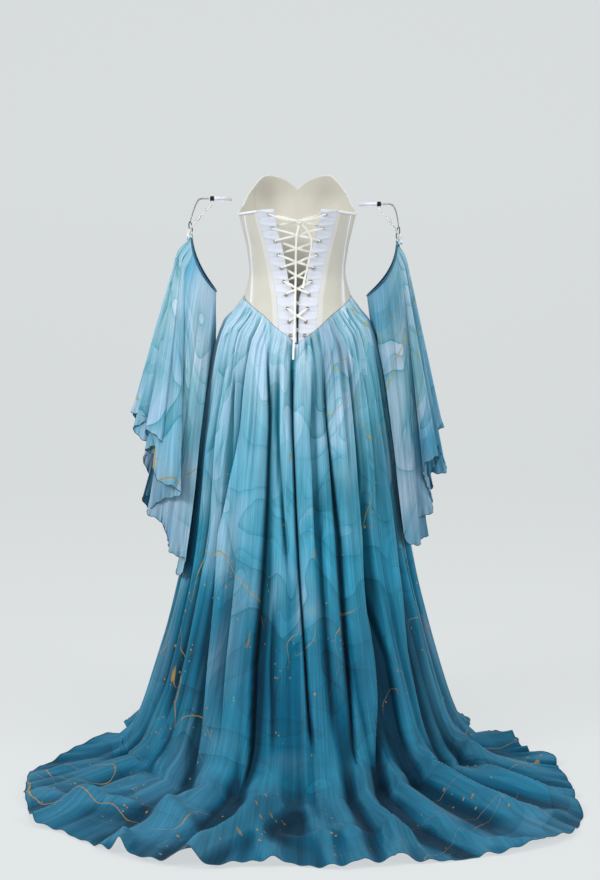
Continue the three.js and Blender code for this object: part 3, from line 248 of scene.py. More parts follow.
def oval(turn, half, back, front, z):
    angle = np.radians(turn)
    depth = np.where(np.cos(angle) > 0, back, front)
    return stack(half * np.sin(angle), -depth * np.cos(angle), z)


def table_oval(tab, turn, z):
    """An oval whose half width and depths come from a table of heights."""
    half, back, front = (column(tab, "z", z, name) for name in ("half", "back", "front"))
    return oval(turn, half, back, front, z)


def torso(turn, z):
    point = table_oval(TORSO, turn, z)
    away = (side_turn(turn) - CUP["turn"]) / CUP["spread_turn"]
    above = (z - CUP["z"]) / CUP["spread_z"]
    rise = CUP["rise"] * np.exp(-away * away - above * above)
    flat = np.hypot(point[..., 0], point[..., 1])
    point[..., :2] *= (1 + rise / flat)[..., None]
    return point


def torso_normal(turn, z):
    across = torso(turn + 0.5, z) - torso(turn - 0.5, z)
    upward = torso(turn, z + 2) - torso(turn, z - 2)
    return unit(np.cross(across, upward))


def torso_out(turn, z, out):
    return torso(turn, z) + torso_normal(turn, z) * np.asarray(out, float)[..., None]


def seam_height(turn):
    return column(WAIST_SEAM, "turn", side_turn(turn), "z")


def top_height(turn):
    return column(TOP_EDGE, "turn", side_turn(turn), "z")


def turn_at(sideways, z):
    return np.degrees(np.arcsin(sideways / column(TORSO, "z", z, "half")))


def lacing_turn(z, name):
    return turn_at(column(LACING, "z", z, name), z)


def turns_of(points):
    return np.degrees(np.arctan2(points[:, 0], -points[:, 1]))


def tape_turn(z):
    return column(TAPE_LINE, "z", z, "turn")


def grid_normals(points, closed=False):
    """Normals of a grid whose rows run downwards and whose columns run with the turn, facing out."""
    if closed:
        padded = np.concatenate([points[:, -1:], points, points[:, :1]], axis=1)
        across = (padded[:, 2:] - padded[:, :-2]) / 2
    else:
        across = np.gradient(points, axis=1)
    along = np.gradient(points, axis=0)
    return -unit(np.cross(across, along))


def to_frame(points):
    """Millimetres above the floor to metres in the row frame."""
    return (np.asarray(points, float) - (0, 0, WAIST_HEIGHT)) / 1000


class Shell:
    """Quads collected from grids of points, with each point's place on the flat cloth."""

    def __init__(self):
        self.points, self.cloth, self.folds, self.faces, self.looks = [], [], [], [], []
        self.count = 0

    def grid(self, points, cloth=None, closed=False, flip=False, keep=None, look=0, fold=0.0):
        rows, columns = points.shape[:2]
        ids = self.count + np.arange(rows * columns).reshape(rows, columns)
        self.count += rows * columns
        self.points.append(points.reshape(-1, 3))
        self.folds.append(np.broadcast_to(fold, (rows, columns)).ravel())
        if cloth is None:
            cloth = points / 1000
        self.cloth.append(np.broadcast_to(cloth, points.shape).reshape(-1, 3))
        wide = np.concatenate([ids, ids[:, :1]], axis=1) if closed else ids
        quads = np.stack([wide[:-1, :-1], wide[1:, :-1], wide[1:, 1:], wide[:-1, 1:]], axis=-1)
        if keep is not None:
            quads = quads[keep]
        self.add_faces(quads.reshape(-1, 4), flip, look)
        return ids

    def join(self, row_a, row_b, closed=False, flip=False, look=0):
        if closed:
            row_a = np.append(row_a, row_a[0])
            row_b = np.append(row_b, row_b[0])
        quads = np.stack([row_a[:-1], row_b[:-1], row_b[1:], row_a[1:]], axis=-1)
        self.add_faces(quads, flip, look)

    def add_faces(self, quads, flip, look):
        self.faces.append(quads[:, ::-1] if flip else quads)
        self.looks.append(np.full(len(quads), look))

    def make(self, name, materials):
        """A Blender object in the row frame, in metres."""
        points = to_frame(np.concatenate(self.points))
        faces = np.concatenate(self.faces)
        mesh = bpy.data.meshes.new(name)
        mesh.vertices.add(len(points))
        mesh.vertices.foreach_set("co", points.astype(np.float32).ravel())
        mesh.loops.add(faces.size)
        mesh.loops.foreach_set("vertex_index", faces.astype(np.int32).ravel())
        mesh.polygons.add(len(faces))
        mesh.polygons.foreach_set("loop_start", np.arange(0, faces.size, 4, dtype=np.int32))
        mesh.update(calc_edges=True)
        mesh.validate()
        cloth = mesh.attributes.new("cloth", "FLOAT_VECTOR", "POINT")
        cloth.data.foreach_set("vector", np.concatenate(self.cloth).astype(np.float32).ravel())
        # Per point value: on the skirt and sleeves it sets painted shade in fold valleys and painted highlight
        # on ridges; on the corset it marks the double net
        fold = mesh.attributes.new("fold", "FLOAT", "POINT")
        fold.data.foreach_set("value", np.concatenate(self.folds).astype(np.float32))
        for material in materials:
            mesh.materials.append(material)
        mesh.polygons.foreach_set("material_index", np.concatenate(self.looks).astype(np.int32))
        mesh.polygons.foreach_set("use_smooth", np.ones(len(faces), bool))
        made = bpy.data.objects.new(name, mesh)
        bpy.context.scene.collection.objects.link(made)
        return made


def wall(shell, points, behind, cloth=None, keep=None, look=0, fold=0.0):
    """An open panel: an outer face, an inner face behind it, and rims round its edge and its holes."""
    outer = shell.grid(points, cloth, keep=keep, look=look, fold=fold)
    inner = shell.grid(behind, cloth, flip=True, keep=keep, look=look, fold=fold)
    for edge, flip in ((np.s_[0], True), (np.s_[-1], False), (np.s_[:, 0], False), (np.s_[:, -1], True)):
        shell.join(outer[edge], inner[edge], flip=flip, look=look)
    if keep is None:
        return
    # Rims of the holes, along rows and along columns
    for a, b, kept, flips in (
        ((slice(1, -1), slice(None, -1)), (slice(1, -1), slice(1, None)), keep, (False, True)),
        ((slice(None, -1), slice(1, -1)), (slice(1, None), slice(1, -1)), keep.T, (True, False)),
    ):
        before = kept[:-1] if kept is keep else kept[:-1].T
        after = kept[1:] if kept is keep else kept[1:].T
        for edge, flip in ((before & ~after, flips[0]), (after & ~before, flips[1])):
            quads = [outer[a][edge], inner[a][edge], inner[b][edge], outer[b][edge]]
            shell.add_faces(np.stack(quads, axis=-1), flip, look)


def frames_along(path):
    """Tangents and two directions across a path, carried along without sudden twists."""
    tangents = unit(np.gradient(path, axis=0))
    side = np.cross(tangents[0], (0, 0, 1))
    if np.linalg.norm(side) < 0.2:
        side = np.cross(tangents[0], (0, 1, 0))
    sides = []
    for tangent in tangents:
        side = side - tangent * np.dot(side, tangent)
        side = side / np.linalg.norm(side)
        sides.append(side)
    sides = np.array(sides)
    return tangents, sides, np.cross(tangents, sides)


def sweep(shell, path, radius, sides=8, flat=None, facing=None, closed=False, look=0):
    """A tube along a path; flat is a flat section's thickness, and facing the normals of its broad side."""
    path = np.asarray(path, float)
    tangents, across, upward = frames_along(path)
    if facing is not None:
        upward = unit(facing - tangents * np.sum(facing * tangents, axis=1, keepdims=True))
        across = np.cross(upward, tangents)
    angles = np.arange(sides) * 2 * np.pi / sides
    wide, thick = (
        np.broadcast_to(np.asarray(size, float), len(path))[:, None, None]
        for size in (radius, radius if flat is None else flat / 2)
    )
    ring = (
        path[:, None]
        + across[:, None] * np.cos(angles)[None, :, None] * wide
        + upward[:, None] * np.sin(angles)[None, :, None] * thick
    )
    cloth = stack(angles[None, :] / 1000, lengths_along(path)[:, None] / 1000, 0.0)
    ids = shell.grid(ring, cloth, closed=True, flip=True, look=look)
    if closed:
        shell.join(ids[-1], ids[0], closed=True, flip=True, look=look)
        return
    for row, at, flip in ((ids[0], path[0], False), (ids[-1], path[-1], True)):
        centre = shell.count
        shell.count += 1
        shell.points.append(at[None])
        shell.cloth.append(np.zeros((1, 3)))
        shell.folds.append(np.zeros(1))
        for k in range(0, sides, 2):
            quad = np.array([[centre, row[k], row[(k + 1) % sides], row[(k + 2) % sides]]])
            shell.add_faces(quad, flip, look)


def smooth_path(points, count):
    """Points spaced evenly on a centripetal Catmull-Rom curve."""
    points = np.asarray(points, float)
    ghost = np.concatenate([[2 * points[0] - points[1]], points, [2 * points[-1] - points[-2]]])
    knots = np.concatenate([[0], np.cumsum(np.sqrt(np.linalg.norm(np.diff(ghost, axis=0), axis=1)))])

    def between(a, b, start, end, t):
        return (a * (end - t) + b * (t - start)) / (end - start)

    samples = []
    for i in range(1, len(ghost) - 2):
        k0, k1, k2, k3 = knots[i - 1 : i + 3]
        t = np.linspace(k1, k2, 24, endpoint=False)[:, None]
        first, middle, last = (
            between(ghost[j], ghost[j + 1], knots[j], knots[j + 1], t) for j in range(i - 1, i + 2)
        )
        rising, falling = between(first, middle, k0, k2, t), between(middle, last, k1, k3, t)
        samples.append(between(rising, falling, k1, k2, t))
    dense = np.concatenate([*samples, points[-1:]])
    length = lengths_along(dense)
    wanted = np.linspace(0, length[-1], count)
    return np.stack([np.interp(wanted, length, dense[:, k]) for k in range(dense.shape[1])], axis=1)


def path_length(path):
    return float(np.linalg.norm(np.diff(path, axis=0), axis=1).sum())


def declare(points):
    """Works out a sheet's width, length and area in metres, measured along the grid of millimetre points that
    it is made from, and keeps none of them.
    """
    across, along = np.diff(points, axis=1), np.diff(points, axis=0)
    width = round(float(np.linalg.norm(across, axis=2).sum(axis=1).max()) / 1000, 3)
    length = round(float(np.linalg.norm(along, axis=2).sum(axis=0).max()) / 1000, 3)
    area = round(float(np.linalg.norm(np.cross(across[:-1], along[:, :-1]), axis=2).sum()) / 1e6, 4)


def piece(shell, node, kind, looks, name=None):
    """The finished piece for a CAD node: it rides on the body and takes its finish from a slot."""
    made = shell.make(name or f"{node}_{kind}", [MATERIALS[look] for look in looks.split()])
    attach(made, "root")
    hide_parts(node)
    return made


# Materials


def linear(*srgb):
    """An 0 to 255 screen colour as linear RGBA."""
    c = np.array(srgb, float) / 255
    c = np.where(c <= 0.04045, c / 12.92, ((c + 0.055) / 1.055) ** 2.4)
    return (*c, 1.0)


def shades(*rows):
    """Colour stops from rows of position, red, green and blue."""
    return [(row[0], linear(*row[1:])) for row in rows]


class Nodes:
    """Short calls for building a node tree."""

    def __init__(self, name):
        self.material = bpy.data.materials.new(name)
        self.material.use_nodes = True
        self.tree = self.material.node_tree
        self.shader = self.tree.nodes["Principled BSDF"]

    def fill(self, socket, value):
        if isinstance(value, bpy.types.NodeSocket):
            self.tree.links.new(value, socket)
        else:
            socket.default_value = value

    def node(self, kind, inputs=(), **settings):
        made = self.tree.nodes.new(kind)
        for key, value in settings.items():
            setattr(made, key, value)
        for key, value in dict(inputs).items():
            self.fill(made.inputs[key], value)
        return made

    def math(self, operation, a, b=0.0, c=0.0, clamp=False):
        made = self.node("ShaderNodeMath", {0: a, 1: b, 2: c}, operation=operation, use_clamp=clamp)
        return made.outputs[0]

    def times(self, a, b):
        return self.math("MULTIPLY", a, b)

    def minus(self, a, b):
        return self.math("SUBTRACT", a, b)

    def line(self, value, slope, start):
        return self.math("MULTIPLY_ADD", value, slope, start)

    def vector(self, operation, a, b):
        return self.node("ShaderNodeVectorMath", {0: a, 1: b}, operation=operation).outputs[0]

    def moved(self, vector, *step):
        return self.vector("ADD", vector, step)

    def stretched(self, vector, *factors):
        return self.vector("MULTIPLY", vector, factors)

    def attribute(self, name, output):
        return self.node("ShaderNodeAttribute", attribute_name=name).outputs[output]

    def noise(self, vector, scale, detail=2.0, roughness=0.5, distortion=0.0, output="Fac"):
        inputs = {"Vector": vector, "Scale": scale, "Detail": detail, "Roughness": roughness}
        return self.node("ShaderNodeTexNoise", {**inputs, "Distortion": distortion}).outputs[output]

    def ramp(self, value, stops):
        made = self.node("ShaderNodeValToRGB", {"Fac": value})
        elements = made.color_ramp.elements
        while len(elements) < len(stops):
            elements.new(0.5)
        for element, (position, colour) in zip(elements, stops):
            element.position, element.color = position, colour
        return made.outputs["Color"]

    def grey_ramp(self, value, *stops):
        return self.ramp(value, [(position, (grey, grey, grey, 1)) for position, grey in stops])

    def grey(self, red, others):
        return self.node("ShaderNodeCombineColor", {0: red, 1: others, 2: others}).outputs[0]

    def blend(self, share, a, b, kind="MIX"):
        made = self.node("ShaderNodeMix", {0: share, 6: a, 7: b}, data_type="RGBA", blend_type=kind)
        return made.outputs[2]

    def set(self, **inputs):
        for key, value in inputs.items():
            self.fill(self.shader.inputs[key.replace("_", " ")], value)

    def bump(self, height, strength, distance):
        made = self.node("ShaderNodeBump", {"Height": height, "Strength": strength, "Distance": distance})
        self.set(Normal=made.outputs[0])


# Layers of ink: scale, bands, spread of the tones, strength of the line where a band starts, and place
INK_LAYERS = ((1.5, 9.0, 0.32, 0.8, 3.1), (3.6, 7.0, 0.2, 0.7, 8.4))
# Gold veins: scale, place, width, and the level above which a vein shows
VEINS = ((1.7, 2.4, 0.0052, 0.49), (3.6, 6.1, 0.0064, 0.545))
THINNEST_VEIN = 0.0004


def ink_layers(nodes, moved, swirled, base):
    """Each band of a field has its own tone, and a darker line where it starts."""
    for scale, bands, tone, line, shift in INK_LAYERS:
        field = nodes.noise(nodes.moved(swirled, shift, shift, 0), scale, 1.0, 0.4, 0.6)
        stepped = nodes.times(field, bands * 1.6)
        part, step = nodes.math("FRACT", stepped), nodes.math("FLOOR", stepped)
        layer = nodes.node("ShaderNodeTexWhiteNoise", {"W": step}, noise_dimensions="1D").outputs["Value"]
        edge = nodes.grey_ramp(part, (0.0, 0.0), (0.02, 1.0), (0.06, 0.55), (0.28, 0.16), (0.6, 0.0))
        patchy = nodes.noise(nodes.moved(moved, shift, 0, 5), 3.2, 1.0)
        seen = nodes.grey_ramp(patchy, (0.42, 0.0), (0.58, 1.0))
        shown = nodes.times(nodes.times(edge, seen), line)
        factor = nodes.times(nodes.line(layer, tone * 2, 1 - tone), nodes.minus(1.0, shown))
        base = nodes.blend(1.0, base, nodes.grey(factor, nodes.line(factor, 0.45, 0.55)), "MULTIPLY")
    return base


def fold_shade_and_highlight(nodes, base, valley_shade_colour):
    """Painted shade: the colour deepens in the valleys of the folds, standing for shade there and for cloth
    lying doubled; painted highlight: the ridges are paler and bluer.
    """
    fold = nodes.attribute("fold", "Fac")
    # Painted shade: valleys take on the deeper shade colour
    painted_shade_share = nodes.grey_ramp(nodes.line(fold, -0.5, 0.5), (0.5, 0.0), (0.75, 0.55), (1.0, 1.0))
    base = nodes.blend(painted_shade_share, base, nodes.blend(1.0, base, valley_shade_colour, "MULTIPLY"))
    # Painted highlight on the ridges: brightened, then tinted pale blue
    ridge = nodes.grey_ramp(fold, (0.1, 0.0), (0.75, 1.0))
    base = nodes.blend(ridge, base, nodes.blend(1.0, base, (1.22, 1.13, 1.1, 1.0), "MULTIPLY"))
    return nodes.blend(nodes.times(ridge, 0.2), base, linear(88, 168, 200))


def gold_cover(nodes, moved, down):
    """Thin broken lines that follow the level lines of a field, and specks in groups near them."""
    wavering = nodes.noise(moved, 14.0)
    finer = nodes.grey_ramp(down, (0.45, 1.0), (1.0, 0.3))
    gold = 0.0
    for scale, shift, wide, seen in VEINS:
        field = nodes.noise(nodes.moved(moved, shift, 0, shift), scale, 3.0, 0.42, 0.3)
        away = nodes.math("ABSOLUTE", nodes.minus(field, 0.5))
        width = nodes.times(nodes.line(wavering, wide * 2, -wide * 0.6), finer)
        inside = nodes.minus(1.0, nodes.math("DIVIDE", away, nodes.math("MAXIMUM", width, THINNEST_VEIN)))
        chosen = nodes.noise(nodes.moved(moved, 0, shift, 0), scale * 1.5, 1.0)
        broken = nodes.grey_ramp(chosen, (seen, 0.0), (seen + 0.05, 1.0))
        vein = nodes.math("MULTIPLY", inside, 2.5, clamp=True)
        gold = nodes.math("MAXIMUM", gold, nodes.times(vein, broken))
        near = nodes.grey_ramp(away, (0.0, 0.75), (0.05, 0.3), (0.1, 0.0))
        near = nodes.times(near, nodes.grey_ramp(chosen, (seen - 0.05, 0.0), (seen + 0.04, 1.0)))
        grain = {"Vector": moved, "Scale": 60 + scale * 12, "Randomness": 1.0}
        dots = nodes.node("ShaderNodeTexVoronoi", grain)
        picks = nodes.node("ShaderNodeSeparateColor", {0: dots.outputs["Color"]}).outputs
        dot = nodes.math("GREATER_THAN", nodes.line(picks[0], 0.16, 0.1), dots.outputs["Distance"])
        often = nodes.math("GREATER_THAN", nodes.times(near, 0.36), picks[1])
        gold = nodes.math("MAXIMUM", gold, nodes.times(dot, often))
    return nodes.times(gold, 0.85)


def ink_chiffon(name, offset, stops, pale, deep, valley_shade_colour):
    """Chiffon printed with clouds of ink, their darker tide lines, and sparse gold veins and specks, with
    painted shade in the fold valleys and painted highlight on the ridges.
    """
    nodes = Nodes(name)
    flat = nodes.attribute("cloth", "Vector")
    moved = nodes.moved(flat, *offset)
    warp = nodes.moved(nodes.noise(moved, 2.2, output="Color"), -0.5, -0.5, -0.5)
    swirled = nodes.vector("ADD", moved, nodes.stretched(warp, 0.5, 0.5, 0.5))
    down = nodes.node("ShaderNodeSeparateXYZ", {0: flat}).outputs["Z"]
    clouds = nodes.noise(swirled, 2.6, 2.0, 0.5, 0.3)
    base = nodes.ramp(nodes.line(nodes.minus(clouds, 0.5), 0.34, down), stops)
    light = nodes.grey_ramp(nodes.noise(nodes.moved(swirled, 7.7, 0, 0), 3.4), *pale[1])
    light = nodes.times(light, nodes.grey_ramp(down, (0.55, 1.0), (0.95, 0.15)))
    base = nodes.blend(light, base, pale[0])
    dark = nodes.grey_ramp(nodes.noise(nodes.moved(swirled, 0, 5.5, 0), 2.8, 1.5), *deep[1])
    base = nodes.blend(dark, base, deep[0])
    # Painted shade in the fold valleys and painted highlight on the ridges
    base = fold_shade_and_highlight(nodes, ink_layers(nodes, moved, swirled, base), valley_shade_colour)
    gold = gold_cover(nodes, moved, down)
    leaf = nodes.ramp(down, shades((0.1, 168, 158, 62), (0.9, 172, 128, 36)))
    threads = nodes.noise(nodes.stretched(flat, 230.0, 230.0, 7.0), 1.0, 2.0, 0.65)
    broader = nodes.noise(nodes.stretched(flat, 60.0, 60.0, 2.5), 1.0, 2.0, 0.6)
    fine = nodes.noise(nodes.stretched(flat, 900.0, 900.0, 900.0), 1.0, 1.0)
    streaks = nodes.grey_ramp(nodes.line(broader, 0.6, threads), (0.62, 0.8), (0.98, 1.14))
    nodes.set(Base_Color=nodes.blend(1.0, nodes.blend(gold, base, leaf), streaks, "MULTIPLY"))
    nodes.set(Roughness=nodes.line(gold, -0.25, 0.68))
    nodes.set(Sheen_Weight=0.06, Sheen_Roughness=0.45, Specular_IOR_Level=0.12)
    nodes.bump(nodes.line(fine, 0.4, nodes.math("ADD", threads, broader)), 0.3, 0.0008)
    return nodes.material


def woven(name, colour, roughness, cells, relief, spread=0.06, sheen=0.2, doubled=None):
    """Plain weave: fine threads both ways, and a slightly uneven, worn tone."""
    nodes = Nodes(name)
    flat = nodes.attribute("cloth", "Vector")
    across = nodes.noise(nodes.stretched(flat, cells * 0.05, cells, cells), 1.0)
    along = nodes.noise(nodes.stretched(flat, cells, cells * 0.05, cells * 0.05), 1.0)
    threads = nodes.times(nodes.math("ADD", across, along), 0.5)
    tone = nodes.line(nodes.minus(nodes.noise(flat, 18.0, 3.0, 0.6), 0.5), spread * 2, 1.0)
    fine = nodes.line(nodes.minus(threads, 0.5), 0.22, tone)
    tinted = nodes.blend(1.0, colour, nodes.grey(fine, fine), "MULTIPLY")
    if doubled:
        cover = nodes.grey_ramp(nodes.attribute("fold", "Fac"), (0.2, 0.0), (0.8, 0.5))
        tinted = nodes.blend(cover, tinted, doubled)
    nodes.set(Base_Color=tinted, Roughness=roughness)
    nodes.set(Sheen_Weight=sheen, Sheen_Roughness=0.5, Specular_IOR_Level=0.3)
    nodes.bump(threads, 0.35, relief)
    return nodes.material


def metal(name, colour, roughness):
    nodes = Nodes(name)
    worn = nodes.noise(nodes.attribute("cloth", "Vector"), 900.0, 3.0)
    dull = nodes.grey_ramp(worn, (0.45, 0.0), (0.7, 0.35))
    nodes.set(Base_Color=nodes.blend(dull, colour, linear(120, 96, 66)))
    nodes.set(Metallic=1.0, Roughness=nodes.line(worn, 0.3, roughness - 0.1))
    return nodes.material


def plastic(name, colour, roughness, coat=0.0):
    nodes = Nodes(name)
    worn = nodes.noise(nodes.attribute("cloth", "Vector"), 300.0)
    nodes.set(Base_Color=colour, Roughness=nodes.line(worn, 0.2, roughness - 0.08))
    nodes.set(Coat_Weight=coat, Coat_Roughness=0.1)
    return nodes.material


SKIRT_STOPS = shades(
    (0.0, 168, 204, 222),
    (0.17, 138, 190, 211),
    (0.34, 96, 168, 194),
    (0.5, 44, 140, 170),
    (0.66, 10, 106, 136),
    (0.8, 2, 88, 118),
    (0.92, 8, 104, 134),
    (1.0, 2, 86, 116),
)
LEFT_SLEEVE_STOPS = shades(
    (0.0, 116, 178, 204),
    (0.12, 152, 194, 208),
    (0.26, 126, 178, 194),
    (0.45, 104, 166, 192),
    (0.72, 158, 188, 206),
    (1.0, 158, 192, 208),
)
# A darker copy of the sleeve chiffon for the right sleeve: painted shade, as that sleeve hangs in shade; its
# print is also placed differently
RIGHT_SLEEVE_SHADED_STOPS = shades(
    (0.0, 132, 182, 200),
    (0.12, 142, 184, 200),
    (0.26, 112, 166, 186),
    (0.45, 70, 138, 166),
    (0.72, 142, 176, 194),
    (1.0, 156, 186, 202),
)
# The last colour of each ink chiffon is painted shade, deepening its colour in the fold valleys
MATERIALS = {
    "skirt": ink_chiffon(
        "chiffon_skirt",
        (0, 0, 0),
        SKIRT_STOPS,
        (linear(168, 196, 214), ((0.5, 0.0), (0.68, 0.45))),
        (linear(4, 92, 124), ((0.52, 0.0), (0.7, 0.5))),
        linear(48, 150, 158),
    ),
    "sleeve": ink_chiffon(
        "chiffon_sleeve",
        (9.3, 2.2, 4.0),
        LEFT_SLEEVE_STOPS,
        (linear(190, 206, 222), ((0.46, 0.0), (0.64, 0.55))),
        (linear(66, 146, 180), ((0.52, 0.0), (0.68, 0.6))),
        linear(96, 170, 194),
    ),
    # Darker copy of the sleeve chiffon: painted shade on the right sleeve
    "sleeve_right": ink_chiffon(
        "chiffon_right_sleeve_shaded",
        (1.7, 6.1, 8.0),
        RIGHT_SLEEVE_SHADED_STOPS,
        (linear(178, 196, 212), ((0.48, 0.0), (0.66, 0.5))),
        (linear(40, 124, 160), ((0.5, 0.0), (0.66, 0.6))),
        linear(84, 160, 186),
    ),
    "hem": plastic("rolled_hem", linear(22, 78, 100), 0.6),
    "teal": woven("teal_binding", linear(18, 88, 114), 0.5, 3400.0, 0.0002),
    "mesh": woven(
        "corset_mesh", linear(206, 203, 191), 0.75, 2600.0, 0.0002, 0.05, doubled=linear(226, 228, 232)
    ),
    "cotton": woven("white_cotton", linear(214, 219, 229), 0.8, 4200.0, 0.0002, 0.03),
    "tape": woven("white_tape", linear(240, 240, 243), 0.6, 3800.0, 0.0002, 0.03),
    "lace": woven("white_lace", linear(240, 238, 230), 0.42, 5200.0, 0.0002, 0.05, 0.5),
    "metal": metal("eyelet_metal", linear(196, 188, 176), 0.28),
    "chain": metal("silver_chain", linear(176, 176, 178), 0.25),
    "elastic": plastic("clear_elastic", linear(222, 220, 230), 0.35),
    "clip": plastic("black_clip", linear(18, 18, 20), 0.3),
    "pearl": plastic("pearl", linear(240, 236, 228), 0.16, 0.6),
    "applique": woven("applique", linear(236, 242, 242), 0.6, 3000.0, 0.0003, 0.05, 0.4),
    "leaf": woven("applique_leaf", linear(78, 158, 178), 0.55, 3000.0, 0.0003, 0.08, 0.4),
}


def make_camera():
    """The photograph's view: from behind, a little above the middle."""
    camera = bpy.data.cameras.new("camera")
    camera.lens, camera.sensor_width = CAMERA["lens"], CAMERA["sensor"]
    camera.clip_start, camera.clip_end = CAMERA["near"], CAMERA["far"]
    seat = bpy.data.objects.new("camera", camera)
    seat.location = CAMERA_PLACE
    seat.rotation_euler = (math.radians(90 - CAMERA["tilt"]), 0, 0)
    bpy.context.scene.collection.objects.link(seat)
    bpy.context.scene.camera = seat


def make_tail(node, route):
    """A free end of the flat lace."""
    path = smooth_path(torso_out(turn_at(route["x"], route["z"]), route["z"], route["out"]), 70)
    facing = torso_normal(turns_of(path), path[:, 2])
    twist = np.linspace(0.9, 0.15, len(path))[:, None]
    facing = unit(facing + stack(np.sin(path[:, 2] / 21), 0.0, 0.0) * 0.5 * twist)
    shell = Shell()
    sweep(shell, path, LACE["width"] / 2, 12, LACE["thick"], facing)
    made = piece(shell, node, "cloth", "lace")
    points = to_frame(path)
    tuple(points[0])


# Corset


def panel_grid(left, right, columns, rows):
    """Turns and heights over a panel between two edges given as turns by height, from the top edge down."""
    share = np.linspace(0, 1, columns + 1)[None, :]
    up = np.linspace(1, 0, rows + 1)[:, None]
    z = mix(1000.0, 1190.0, up) + 0 * share
    for _ in range(12):
        turn = mix(left(z), right(z), share)
        z = mix(seam_height(turn), top_height(turn), up)
    return turn, z


def flat_cloth(points, seed):
    """Places on the flat cloth, in metres, from a grid of millimetre points."""
    u = lengths_along(points.swapaxes(0, 1)).T
    return stack((u - u.mean(axis=1, keepdims=True)) / 1000, lengths_along(points) / 1000, seed)


def eyelet_height(row):
    return EYELET["top"] - EYELET["pitch"] * row


def eyelet_turn(row, sign):
    z = eyelet_height(row)
    return float(sign * lacing_turn(z, "eyelet"))


def corset_sheet(node, points, look, slot, rests_on, **wall_settings):
    """A stretched panel of the corset, as thick as its wall."""
    shell = Shell()
    wall(shell, points, points - grid_normals(points) * CORSET_WALL, **wall_settings)
    made = piece(shell, node, "cloth", look)
    declare(points)


def corset_panel(node, left, right, columns):
    turn, z = panel_grid(left, right, columns, 120)
    normal = torso_normal(turn, z)
    points = torso(turn, z) + normal * soft_creases(turn, z)[..., None]
    # Double net beside the lacing panels and under the tapes
    reach = np.linalg.norm(points[..., :2], axis=-1)
    around = side_turn(turn)
    tape_away = np.abs(np.radians(around - tape_turn(z)) * reach)
    lacing_away = np.abs(np.radians(around - lacing_turn(z, "outer")) * reach - CASING["lacing"])
    casing = np.maximum(
        1 - ease((tape_away - CASING["tape"]) / CASING["soft"]),
        1 - ease((lacing_away - CASING["lacing"]) / CASING["soft"]),
    )
    points = points + normal * (CASING["lift"] * casing)[..., None]
    cloth = flat_cloth(points, len(node))
    corset_sheet(node, points, "mesh", "corset_mesh", "skirt_front_cloth", cloth=cloth, fold=casing)


def soft_creases(turn, z):
    """Shallow pulls in the net, mostly near the waist."""
    waist = np.exp(-(((z - 1045) / 70) ** 2))
    slanted = np.sin(np.radians(turn * 9) + z / 17) * np.sin(z / 31 + turn / 11)
    return 0.5 * waist * slanted + 0.25 * np.sin(np.radians(turn * 23)) * np.sin(z / 23)


def lacing_panel(side, sign):
    edges = [lambda z, name=name: sign * lacing_turn(z, name) for name in ("inner", "outer")]
    turn, z = panel_grid(*edges[::sign], 44, 220)
    puckers = np.zeros_like(z)
    keep = np.ones((z.shape[0] - 1, z.shape[1] - 1), bool)
    flat = torso(turn, z)
    middle = (flat[:-1, :-1] + flat[1:, 1:]) / 2
    for row in range(EYELET["count"]):
        at_z, at_turn = eyelet_height(row), eyelet_turn(row, sign)
        centre = torso(np.array(at_turn), np.array(float(at_z)))
        keep &= np.linalg.norm(middle - centre, axis=2) > EYELET["hole"] + 0.7
        sideways = np.radians(turn - at_turn) * 100
        drop = z - at_z - 5 - 0.12 * np.abs(sideways)
        puckers += 1.3 * np.exp(-((drop / 3.4) ** 2)) * np.exp(-((sideways / 26) ** 2))
        drop = z - at_z + 6 + 0.16 * sideways * sign
        puckers -= 1.0 * np.exp(-((drop / 3.0) ** 2)) * np.exp(-((sideways / 20) ** 2))
    points = flat + torso_normal(turn, z) * puckers[..., None]
    cloth = flat_cloth(points, sign)
    node, under = f"lacing_panel_{side}", f"corset_back_{side}_cloth"
    corset_sheet(node, points, "cotton", "white_cotton", under, cloth=cloth, keep=keep)


def make_eyelets(side, sign):
    angles = (np.arange(EYELET["sides"]) * 2 * np.pi / EYELET["sides"])[:, None]
    for row in range(EYELET["count"]):
        z, turn = np.array(float(eyelet_height(row))), np.array(eyelet_turn(row, sign))
        normal = torso_normal(turn, z)
        centre = torso(turn, z) + normal * 0.5
        across = unit(np.cross((0, 0, 1), normal))
        circle = np.cos(angles) * across + np.sin(angles) * np.cross(normal, across)
        shell = Shell()
        ring = np.array([centre + normal * rise + radius * circle for radius, rise in EYELET_RING])
        ids = shell.grid(ring, closed=True)
        shell.join(ids[-1], ids[0], closed=True)
        number = f"{side}_{row + 1}"
        piece(shell, f"eyelet_{number}", "", "metal", f"eyelet_ring_{number}")


def make_tape(side, sign):
    share = np.linspace(0, 1, 120)
    turn = np.full_like(share, 60.0)
    for _ in range(12):
        height = mix(seam_height(turn) + TAPE["end"], top_height(turn) - BINDING["height"] - 1, share)
        turn = tape_turn(height)
    turn = turn * sign
    path = torso_out(turn, height, np.full_like(share, CASING["lift"] + TAPE["wall"] / 2))
    normal = torso_normal(turn, height)
    shell = Shell()
    sweep(shell, path, TAPE["width"] / 2, 12, TAPE["wall"] * 1.1, normal)
    across = np.cross(normal, unit(np.gradient(path, axis=0)))
    for edge in (-1, 1):
        stitch = path + across * edge * (TAPE["width"] / 2 - 1.1) + normal * 0.45
        sweep(shell, stitch, 0.25, 4)
    piece(shell, f"boning_tape_{side}", "cloth", "tape")


def make_binding():
    first = float(lacing_turn(np.array(1196.0), "outer")) + 0.6
    turn = np.linspace(first, 360 - first, 400)
    top = top_height(turn) - 0.2
    low = top - BINDING["height"]
    section = ((0, 1.0), (0, 1.9), (0.5, 2.1), (1, 1.9), (1.06, 1.4), (1, 0.9))
    rows = [torso_out(turn, mix(low, top, share), np.full_like(turn, out)) for share, out in section]
    shell = Shell()
    ids = shell.grid(np.array(rows))
    shell.join(ids[-1], ids[0])
    piece(shell, "top_binding", "cloth", "tape")


